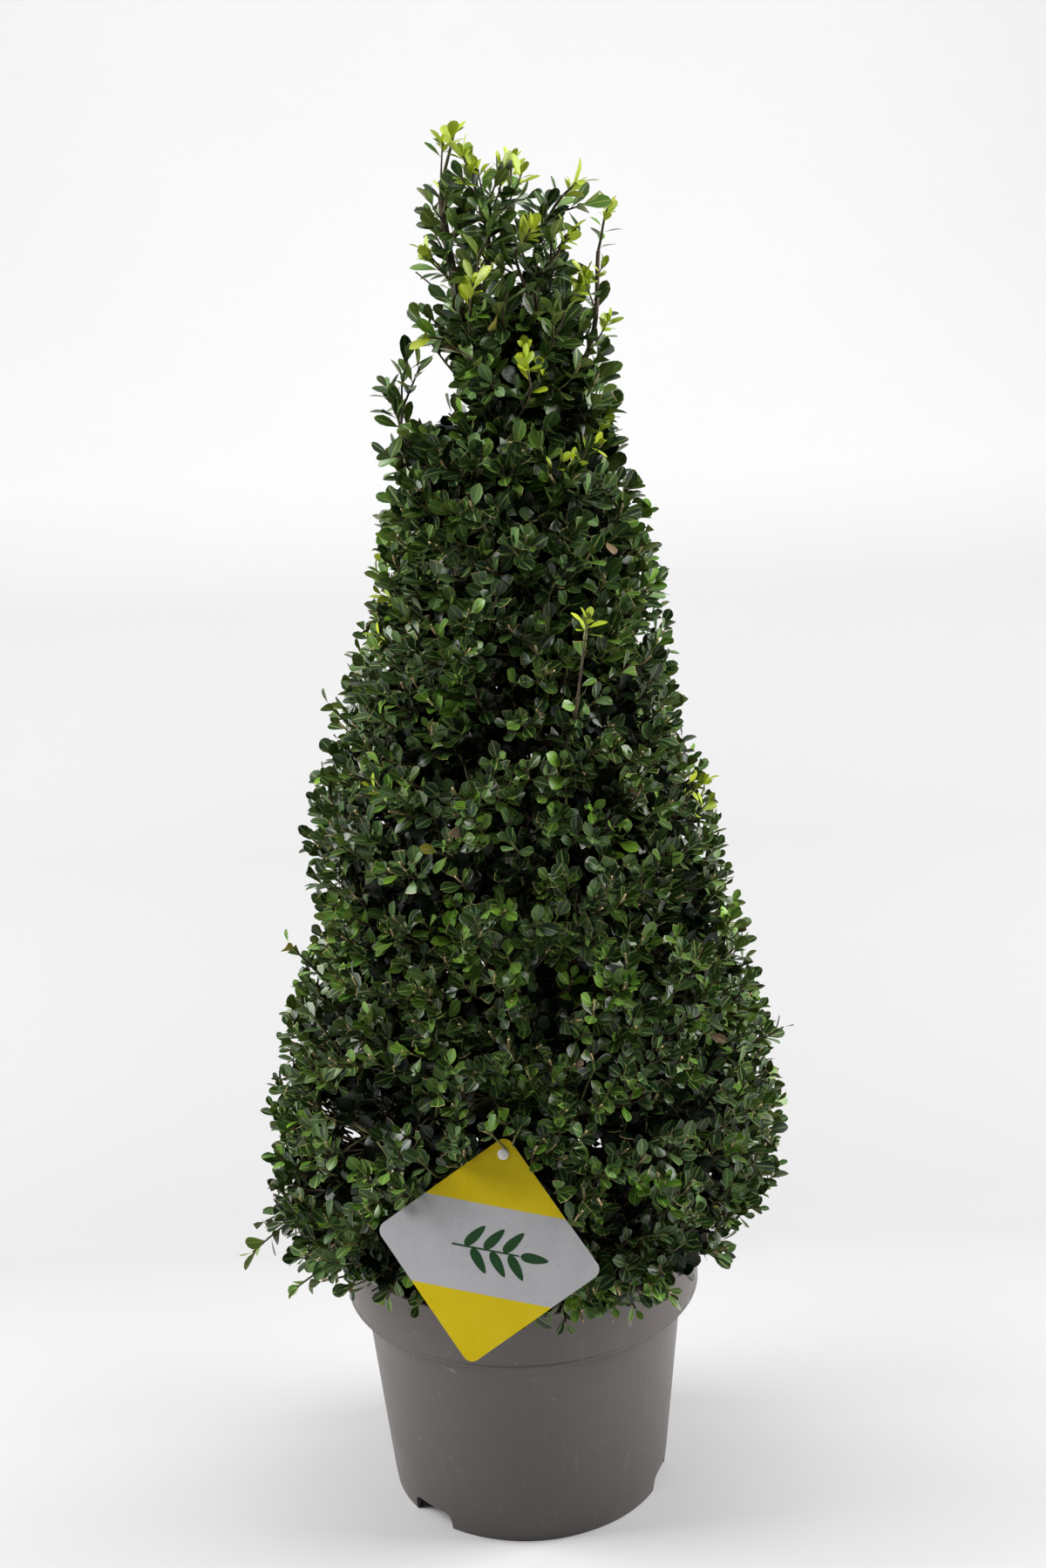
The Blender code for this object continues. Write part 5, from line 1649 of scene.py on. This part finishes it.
# The pot's section as radius, height and corner radius, from the middle of its underside over the
# rim to the middle of its floor
POT_PROFILE = (
    (0.0, 0.0150, 0),
    (0.1190, 0.0150, 0.0010),
    (0.1190, 0.0, 0.0008),
    (0.1228, 0.0, 0.0012),
    (0.1250, 0.0168, 0.0020),
    (0.1420, 0.1905, 0.0050),
    (0.1553, 0.1935, 0.0020),
    (0.1565, 0.1950, 0.0006),
    (0.1566, 0.1972, 0.0006),
    (0.1560, 0.1986, 0.0006),
    (0.1576, 0.2440, 0.0010),
    (0.1580, 0.2452, 0.0006),
    (0.1580, 0.2480, 0.0012),
    (0.1548, 0.2480, 0.0012),
    (0.1530, 0.1972, 0.0020),
    (0.1392, 0.1905, 0.0050),
    (0.1222, 0.0180, 0.0020),
    (0.0, 0.0180, 0),
)


# Notches in the pot's foot: how many, and where the first and each next one stands
NOTCH_COUNT = 3
NOTCH_FIRST_DEGREES = 224
NOTCH_STEP_DEGREES = 120


def notch_cutter(angle):
    """A rounded arch that cuts one drain notch through the pot's foot."""
    width, height, soft = 0.046, 0.0165, 0.0095
    outline = [(-width / 2, -0.01), (width / 2, -0.01), (width / 2, 0.0)]
    outline += rounded((width / 2, height), (width / 2, 0.0), (0.0, height), soft)
    outline += rounded((-width / 2, height), (0.0, height), (-width / 2, 0.0), soft)
    outline.append((-width / 2, 0.0))
    out = Vector((math.cos(angle), math.sin(angle), 0))
    across = Vector((-out.y, out.x, 0))
    count = len(outline)
    points = [out * reach + across * x + UP * z for reach in (0.100, 0.150) for x, z in outline]
    faces = [tuple(range(count)), tuple(reversed(range(count, 2 * count)))]
    for index in range(count):
        after = (index + 1) % count
        faces.append((index, index + count, after + count, after))
    thing = mesh_object("notch", points, faces, [])
    turn_outwards(thing, 1e-6)
    return thing


def cut_away(thing, cutter):
    """Cuts a cutter out of a piece and removes the cutter."""
    modifier = thing.modifiers.new("cut", "BOOLEAN")
    modifier.operation = "DIFFERENCE"
    modifier.solver = "EXACT"
    modifier.object = cutter
    graph = bpy.context.evaluated_depsgraph_get()
    graph.update()
    cut = bpy.data.meshes.new_from_object(thing.evaluated_get(graph))
    thing.modifiers.remove(modifier)
    thing.data = cut
    bpy.data.objects.remove(cutter)


def build_pot(settings):
    """The turned pot with the notches in its foot."""
    thing = turned("pot_body", rounded_profile(POT_PROFILE), settings.sides, [pot_material(settings)])
    for number in range(NOTCH_COUNT):
        degrees = NOTCH_FIRST_DEGREES + NOTCH_STEP_DEGREES * number
        cut_away(thing, notch_cutter(math.radians(degrees)))
    thing.data.set_sharp_from_angle(angle=math.radians(40))
    thing.data.name = thing.name
    return keep(thing, "pot_plastic", "pot")


# The soil's top and the closed body under it
SOIL_RADIUS = 0.1525
SOIL_UNDER_RADIUS = 0.1375
SOIL_UNDER_Z = 0.186
# Its mound: the height, the share of the radius where the crest lies, and what is left of it
SOIL_MOUND = 0.003
SOIL_CREST_SHARE = 0.7
SOIL_SETTLED = 0.7


def soil_height(x, y):
    """Height of the soil's top at a place, flat round the trunk and lumpy outside it."""
    reach = math.hypot(x, y)
    share = reach / SOIL_RADIUS
    if share < SOIL_CREST_SHARE:
        crest = SOIL_MOUND * math.sin(math.pi * min(share / SOIL_CREST_SHARE, 1.0) / 2)
    else:
        crest = SOIL_MOUND * (1 - (share - SOIL_CREST_SHARE) * 4)
    lumps = 0.0016 * noise.noise(Vector((x * 60, y * 60, 0.3)))
    lumps += 0.0009 * noise.noise(Vector((x * 190, y * 190, 2)))
    calm = min(max((reach - 0.014) / 0.02, 0.0), 1.0)
    return SOIL_Z + (crest * SOIL_SETTLED + lumps) * calm


def build_soil(settings):
    """The soil's lumpy top with a closed body, and chips and crumbs strewn over it."""
    profile_rings, sides = 56, 140
    points = [(0, 0, soil_height(0, 0))]
    for ring in range(1, profile_rings + 1):
        reach = SOIL_RADIUS * ring / profile_rings
        for side in range(sides):
            angle = 2 * math.pi * side / sides
            x, y = reach * math.cos(angle), reach * math.sin(angle)
            points.append((x, y, soil_height(x, y)))
    for side in range(sides):
        angle = 2 * math.pi * side / sides
        x, y = SOIL_UNDER_RADIUS * math.cos(angle), SOIL_UNDER_RADIUS * math.sin(angle)
        points.append((x, y, SOIL_UNDER_Z))
    points.append((0, 0, SOIL_UNDER_Z))
    faces = []
    for side in range(sides):
        after = (side + 1) % sides
        faces.append((0, 1 + side, 1 + after))
        for ring in range(profile_rings):
            low, high = 1 + ring * sides, 1 + (ring + 1) * sides
            faces.append((low + side, high + side, high + after, low + after))
        last = 1 + profile_rings * sides
        faces.append((last + side, len(points) - 1, last + after))
    soil = mesh_object("soil_top", points, faces, [soil_material(settings)])
    turn_outwards(soil)
    keep(soil, "soil", "potting_soil")
    chance = random.Random(11)
    shapes = bpy.data.collections.new("chip_shapes")
    for number in range(5):
        corners = []
        for corner in range(8):
            x, y, z = corner & 1, corner >> 1 & 1, corner >> 2
            corners.append(
                (
                    (x - 0.5) * chance.uniform(0.7, 1.0),
                    (y - 0.5) * chance.uniform(0.35, 0.6),
                    (z - 0.5) * chance.uniform(0.15, 0.40),
                )
            )
        sides_of = ((0, 2, 3, 1), (4, 5, 7, 6), (0, 1, 5, 4), (2, 6, 7, 3), (0, 4, 6, 2), (1, 3, 7, 5))
        mesh = bpy.data.meshes.new("chip_shape_%d" % number)
        mesh.from_pydata(corners, [], sides_of)
        shapes.objects.link(bpy.data.objects.new(mesh.name, mesh))
    places, turns, sizes, numbers = [], [], [], []
    for number in range(settings.chips):
        reach = 0.148 * math.sqrt(chance.uniform(0.03, 1.0))
        angle = number * GOLDEN_ANGLE
        x, y = reach * math.cos(angle), reach * math.sin(angle)
        places.append((x, y, soil_height(x, y) + 0.0004))
        turns.append((chance.uniform(-0.5, 0.5), chance.uniform(-0.5, 0.5), chance.uniform(0, 6.28)))
        sizes.append(chance.choice((0.003, 0.004, 0.005, 0.009)) * chance.uniform(0.7, 1.3))
        numbers.append(chance.randrange(5))
    chips = points_object(
        "bark_chips",
        places,
        floats=(("size", sizes), ("tone", [0.5] * len(sizes))),
        numbers=(("shape", numbers),),
        vectors=(("turn", turns),),
    )
    values = {"Shapes": shapes, "Length": 1.0, "Length play": 0.1, "Seed": 3, "Material": chip_material()}
    grown_mesh(chips, scatter_tree(), values)
    turn_outwards(chips)
    keep(chips, "soil")
    return soil, chips


# ---------------------------------------------------------------- label card


def card_point(u, v, w):
    right, forward, up = CARD_AXES
    return CARD_CENTRE + right * u + up * v + forward * w


def card_bend(u, bend):
    return -bend * (u / (CARD_SIDE / math.sqrt(2))) ** 2


def card_outline():
    """The card's outline, a square that stands on one rounded corner."""
    half = CARD_SIDE / math.sqrt(2)
    inset = CARD_CORNER_RADIUS * math.sqrt(2)
    points = []
    for quarter in range(4):
        middle = quarter * math.pi / 2
        centre = Vector((math.cos(middle), math.sin(middle))) * (half - inset)
        for step in range(9):
            angle = middle - math.pi / 4 + math.pi / 2 * step / 8
            points.append(centre + Vector((math.cos(angle), math.sin(angle))) * CARD_CORNER_RADIUS)
    return points


def bent_slab(name, outline, height, thickness, bend, paints, lines=()):
    """A thin slab with the card's bend, its front at a height over the card's middle plane."""
    work = bmesh.new()
    verts = [work.verts.new((u, v, 0)) for u, v in outline]
    work.faces.new(verts)
    for u in [step * 0.006 for step in range(-16, 17)]:
        everything = work.verts[:] + work.edges[:] + work.faces[:]
        bmesh.ops.bisect_plane(work, geom=everything, plane_co=(u, 0, 0), plane_no=(1, 0, 0))
    for v in lines:
        everything = work.verts[:] + work.edges[:] + work.faces[:]
        bmesh.ops.bisect_plane(work, geom=everything, plane_co=(0, v, 0), plane_no=(0, 1, 0))
    front = work.faces[:]
    copied = bmesh.ops.extrude_face_region(work, geom=front)
    for vert in (item for item in copied["geom"] if isinstance(item, bmesh.types.BMVert)):
        vert.co.z = -thickness
    bmesh.ops.recalc_face_normals(work, faces=work.faces)
    mesh = bpy.data.meshes.new(name)
    for paint in paints:
        mesh.materials.append(paint)
    for face in work.faces:
        centre = face.calc_center_median()
        face.material_index = 1 if lines and abs(centre.y) > lines[1] and centre.z > -thickness / 2 else 0
        face.smooth = True
    for vert in work.verts:
        u, v, w = vert.co
        vert.co = card_point(u, v, height + w + card_bend(u, bend))
    bmesh.ops.recalc_face_normals(work, faces=work.faces)
    work.to_mesh(mesh)
    work.free()
    mesh.set_sharp_from_angle(angle=math.radians(35))
    thing = bpy.data.objects.new(name, mesh)
    bpy.context.scene.collection.objects.link(thing)
    return thing


def sprig_outlines():
    """A plain leaf sprig: a thin stem and pairs of leaves, as outlines on the card."""
    outlines = [[(-0.030, -0.0008), (0.026, -0.0006), (0.026, 0.0006), (-0.030, 0.0008)]]
    roots = ((-0.020, 1), (-0.014, -1), (-0.004, 1), (0.002, -1), (0.012, 1), (0.017, -1), (0.026, 0))
    for root, side in roots:
        angle = math.radians(52 * side)
        ahead = Vector((math.cos(angle), math.sin(angle)))
        across = Vector((-ahead.y, ahead.x))
        outline = []
        for step in range(16):
            turn = 2 * math.pi * step / 16
            along = 0.0115 * (1 - math.cos(turn))
            wide = 0.0052 * math.sin(turn) * (0.75 + 0.25 * math.cos(turn))
            outline.append(Vector((root, 0)) + ahead * (along + 0.001) + across * wide)
        outlines.append([tuple(point) for point in outline])
    return outlines


def build_label(settings):
    """The bent card with its plain print, and its domed pin."""
    half = CARD_THICKNESS / 2
    band = printed_material("label_band", tuple(settings.yellow))
    field = printed_material("label_field", tuple(settings.grey), 0.28)
    bands = (-CARD_BAND_FROM, CARD_BAND_FROM)
    paints = [field, band]
    card = bent_slab("label_sheet", card_outline(), half, CARD_THICKNESS, settings.bend, paints, bands)
    hole_v = CARD_SIDE / math.sqrt(2) - CARD_CORNER_RADIUS * (math.sqrt(2) - 1) - CARD_HOLE_INSET
    wall = [(0, -0.01), (PIN_HOLE_RADIUS, -0.01), (PIN_HOLE_RADIUS, 0.01), (0, 0.01)]
    bore = turned("bore", wall, 32, [])
    place_on_card(bore, 0, hole_v)
    cut_away(card, bore)
    card.data.set_sharp_from_angle(angle=math.radians(35))
    card.data.name = card.name
    keep(card, "label_plastic", "label_card")
    ink = printed_material("label_print", (0.016, 0.060, 0.018), 0.34)
    raised = half + PRINT_LIFT
    prints = []
    for outline in sprig_outlines():
        prints.append(bent_slab("print", outline, raised, PRINT_THICKNESS, settings.bend, [ink]))
    joined = join_pieces("label_print", prints)
    keep(joined, "label_plastic")
    white = printed_material("white_pin", (0.80, 0.80, 0.79), 0.35)
    profile = [(0, -PIN_REACH), (PIN_SHANK_RADIUS * 0.6, -PIN_REACH), (PIN_SHANK_RADIUS, -PIN_REACH + 0.002)]
    profile += [(PIN_SHANK_RADIUS, half + 0.0002), (PIN_HEAD_RADIUS, half + 0.0002)]
    profile += [
        (PIN_HEAD_RADIUS * math.cos(math.radians(a)), half + 0.0006 + 0.0016 * math.sin(math.radians(a)))
        for a in range(0, 90, 15)
    ]
    profile.append((0, half + 0.0022))
    pin = turned("pin_body", profile, 40, [white], 50)
    place_on_card(pin, 0, hole_v)
    keep(pin, "pin_plastic", "label_pin")
    return card, joined, pin


def place_on_card(thing, u, v):
    """Turns a body of revolution so that its axis leaves the card's front at a point."""
    right, forward, up = CARD_AXES
    for vert in thing.data.vertices:
        x, y, z = vert.co
        vert.co = card_point(u, v, 0) + right * x + up * y + forward * z
    thing.data.update()
    turn_outwards(thing)


def join_pieces(name, things):
    """Joins mesh objects into one new object."""
    work = bmesh.new()
    for thing in things:
        work.from_mesh(thing.data)
    mesh = bpy.data.meshes.new(name)
    mesh.materials.append(things[0].data.materials[0])
    work.to_mesh(mesh)
    work.free()
    for thing in things:
        bpy.data.objects.remove(thing)
    joined = bpy.data.objects.new(name, mesh)
    bpy.context.scene.collection.objects.link(joined)
    return joined


# ---------------------------------------------------------------- stage


# Where the floor's colour changes towards the camera: from Y, to Y, and the colour from there on. These bands
# are painted light and shade that even out how the lamps light the floor.
FLOOR_PAINTED_LIGHT = (
    (3.6, 1.6, (0.520, 0.518, 0.521)),
    (1.6, 0.5, (0.430, 0.427, 0.430)),
    (0.40, 0.05, (0.622, 0.615, 0.617)),
)
BACKDROP_START = 3.0
BACKDROP_RADIUS = 1.6
BACKDROP_HEIGHT = 5.0
FLOOR_FRONT = -6.0
FLOOR_HALF_WIDTH = 5.0
LIGHTS_AIM = (0, 0, 0.55)
# Place and size of the large lights, by the name of each one's power among the settings
LARGE_LIGHTS = {
    "key": ((-2.6, 0.10, 2.0), (1.7, 2.2)),
    "fill": ((2.6, 0.10, 1.9), (1.7, 2.2)),
    "top": ((0.0, 0.2, 3.2), (2.0, 2.0)),
}
SENSOR_WIDTH = 36.0


def backdrop_material():
    paint, tree, shader = new_material("backdrop", 0.9, specular=0.2)
    place = object_place(tree)
    clouds = add_patches(tree, place, 1.2, 2.0, 0.2, 0.8)
    colour = mixed(tree, clouds, (0.850, 0.849, 0.853), (0.870, 0.869, 0.874))
    apart = tree.nodes.new("ShaderNodeSeparateXYZ")
    link(tree, place, apart.inputs[0])
    # Bands of painted light and shade on the floor, by Y
    for far, near, painted_colour in FLOOR_PAINTED_LIGHT:
        share = ramp(tree, apart.outputs["Y"], near, far, 1.0, 0.0)
        colour = mixed(tree, share, colour, painted_colour)
    link(tree, colour, shader.inputs["Base Color"])
    return paint


def add_area(name, place, aim, size, power):
    lamp = bpy.data.lights.new(name, "AREA")
    lamp.shape = "RECTANGLE"
    lamp.size, lamp.size_y = size
    lamp.energy = power
    thing = bpy.data.objects.new(name, lamp)
    thing.location = place
    thing.rotation_euler = (Vector(aim) - Vector(place)).to_track_quat("-Z", "Y").to_euler()
    bpy.context.scene.collection.objects.link(thing)
    return thing


def build_stage(settings):
    """Pale floor that curves up into a backdrop, soft lights and the camera."""
    scene = bpy.context.scene
    start, radius = BACKDROP_START, BACKDROP_RADIUS
    profile = [(FLOOR_FRONT, 0.0), (start, 0.0)]
    for degrees in range(6, 91, 6):
        turn = math.radians(degrees)
        profile.append((start + radius * math.sin(turn), radius * (1 - math.cos(turn))))
    profile.append((start + radius, BACKDROP_HEIGHT))
    points, faces = [], []
    for y, z in profile:
        points += [(-FLOOR_HALF_WIDTH, y, z), (FLOOR_HALF_WIDTH, y, z)]
    for row in range(len(profile) - 1):
        faces.append((2 * row, 2 * row + 1, 2 * row + 3, 2 * row + 2))
    backdrop = mesh_object("backdrop", points, faces, [backdrop_material()])
    backdrop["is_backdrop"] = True
    for name, (place, size) in LARGE_LIGHTS.items():
        add_area(name + "_light", place, LIGHTS_AIM, size, getattr(settings, name))
    for side in (-1, 1):
        place, aim = (2.4 * side, 2.0, 2.8), (0.6 * side, 4.6, 0.9)
        add_area("backdrop_light", place, aim, (1.5, 1.5), settings.backdrop)
    world = bpy.data.worlds.new("surround")
    world.use_nodes = True
    world.node_tree.nodes["Background"].inputs["Color"].default_value = (1.0, 1.0, 1.0, 1.0)
    world.node_tree.nodes["Background"].inputs["Strength"].default_value = settings.sky
    scene.world = world
    scene.view_settings.view_transform = "Standard"
    lens = bpy.data.cameras.new("main_camera")
    lens.lens = settings.lens
    lens.sensor_width = SENSOR_WIDTH
    lens.clip_start = 0.05
    camera = bpy.data.objects.new("main_camera", lens)
    turn = Euler((CAMERA_TILT, 0, 0)).to_matrix() @ Matrix.Rotation(CAMERA_ROLL, 3, "Z")
    camera.matrix_world = Matrix.Translation(CAMERA_PLACE) @ turn.to_4x4()
    scene.collection.objects.link(camera)
    scene.camera = camera
    return backdrop


# ---------------------------------------------------------------- operators


def settings_of(context):
    return context.scene.holly_cone


class HOLLY_OT_pot(bpy.types.Operator):
    """Builds the moulded pot with its rounded rim, collar and drain notches"""

    bl_idname = "holly.pot"
    bl_label = "Pot"

    def execute(self, context):
        build_pot(settings_of(context).pot)
        return {"FINISHED"}


class HOLLY_OT_soil(bpy.types.Operator):
    """Builds the lumpy soil with its chips"""

    bl_idname = "holly.soil"
    bl_label = "Soil"

    def execute(self, context):
        build_soil(settings_of(context).soil)
        return {"FINISHED"}


class HOLLY_OT_bark(bpy.types.Operator):
    """Builds the trunk and boughs with their bark relief"""

    bl_idname = "holly.bark"
    bl_label = "Trunk and boughs"

    def execute(self, context):
        build_bark(settings_of(context).bark)
        return {"FINISHED"}


class HOLLY_OT_foliage(bpy.types.Operator):
    """Grows the twigs and leaves of the crown and the loose top"""

    bl_idname = "holly.foliage"
    bl_label = "Twigs and leaves"

    def execute(self, context):
        settings = settings_of(context).crown
        growth = Growth(settings)
        grow_crown(growth)
        grow_underside(growth)
        grow_long_shoots(growth)
        grow_top(growth)
        paints = {
            "old": (5, twig_material("twig_bark", (0.036, 0.024, 0.014), (0.105, 0.078, 0.046))),
            "young": (4, twig_material("young_twig", (0.080, 0.100, 0.026), (0.200, 0.190, 0.075))),
            "cut": (5, twig_material("cut_twig", (0.460, 0.320, 0.160), (0.740, 0.580, 0.320))),
        }
        for kind, (sides, paint) in paints.items():
            for zone, chains in zoned("twigs_" + kind, growth.chains[kind], kind == "old"):
                keep(twigs_piece(zone, chains, sides, paint), "bark")
        for kind, placed in growth.leaves.items():
            for zone, leaves in zoned("leaves_" + kind, placed, kind in LARGE_KINDS):
                piece = leaves_piece(zone, kind, leaves, settings)
                keep(piece, "leaves", *REPLACED_BY.get(zone, ()))
        return {"FINISHED"}


class HOLLY_OT_label(bpy.types.Operator):
    """Builds the label card with its plain print and its pin"""

    bl_idname = "holly.label"
    bl_label = "Label"

    def execute(self, context):
        build_label(settings_of(context).label)
        return {"FINISHED"}


class HOLLY_OT_stage(bpy.types.Operator):
    """Sets the floor, backdrop, lights and camera"""

    bl_idname = "holly.stage"
    bl_label = "Stage"

    def execute(self, context):
        build_stage(settings_of(context).stage)
        return {"FINISHED"}


OPERATORS = (HOLLY_OT_pot, HOLLY_OT_soil, HOLLY_OT_bark, HOLLY_OT_foliage, HOLLY_OT_label, HOLLY_OT_stage)


class HOLLY_PT_panel(bpy.types.Panel):
    bl_label = "Holly cone"
    bl_idname = "HOLLY_PT_panel"
    bl_space_type = "VIEW_3D"
    bl_region_type = "UI"
    bl_category = "Holly cone"

    def draw(self, context):
        layout = self.layout
        settings = settings_of(context)
        for title in ("pot", "soil", "bark", "crown", "label", "stage"):
            group = getattr(settings, title)
            box = layout.box()
            box.label(text=title.capitalize())
            for name in group.__annotations__:
                box.prop(group, name)
        for operator in OPERATORS:
            layout.operator(operator.bl_idname)


CLASSES = (
    PotSettings,
    SoilSettings,
    BarkSettings,
    CrownSettings,
    LabelSettings,
    StageSettings,
    HollySettings,
    *OPERATORS,
    HOLLY_PT_panel,
)


def register():
    for item in CLASSES:
        bpy.utils.register_class(item)
    bpy.types.Scene.holly_cone = bpy.props.PointerProperty(type=HollySettings)


def unregister():
    del bpy.types.Scene.holly_cone
    for item in reversed(CLASSES):
        bpy.utils.unregister_class(item)


def main():
    register()
    for operator in OPERATORS:
        group, name = operator.bl_idname.split(".")
        getattr(getattr(bpy.ops, group), name)()
    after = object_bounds()
    sizes = {
        "cad": [list(corner) for corner in CAD_BOX],
        "visual": [list(corner) for corner in after],
    }
    print("CAD box", sizes["cad"], "visual box", sizes["visual"])


if __name__ == "__main__":
    main()
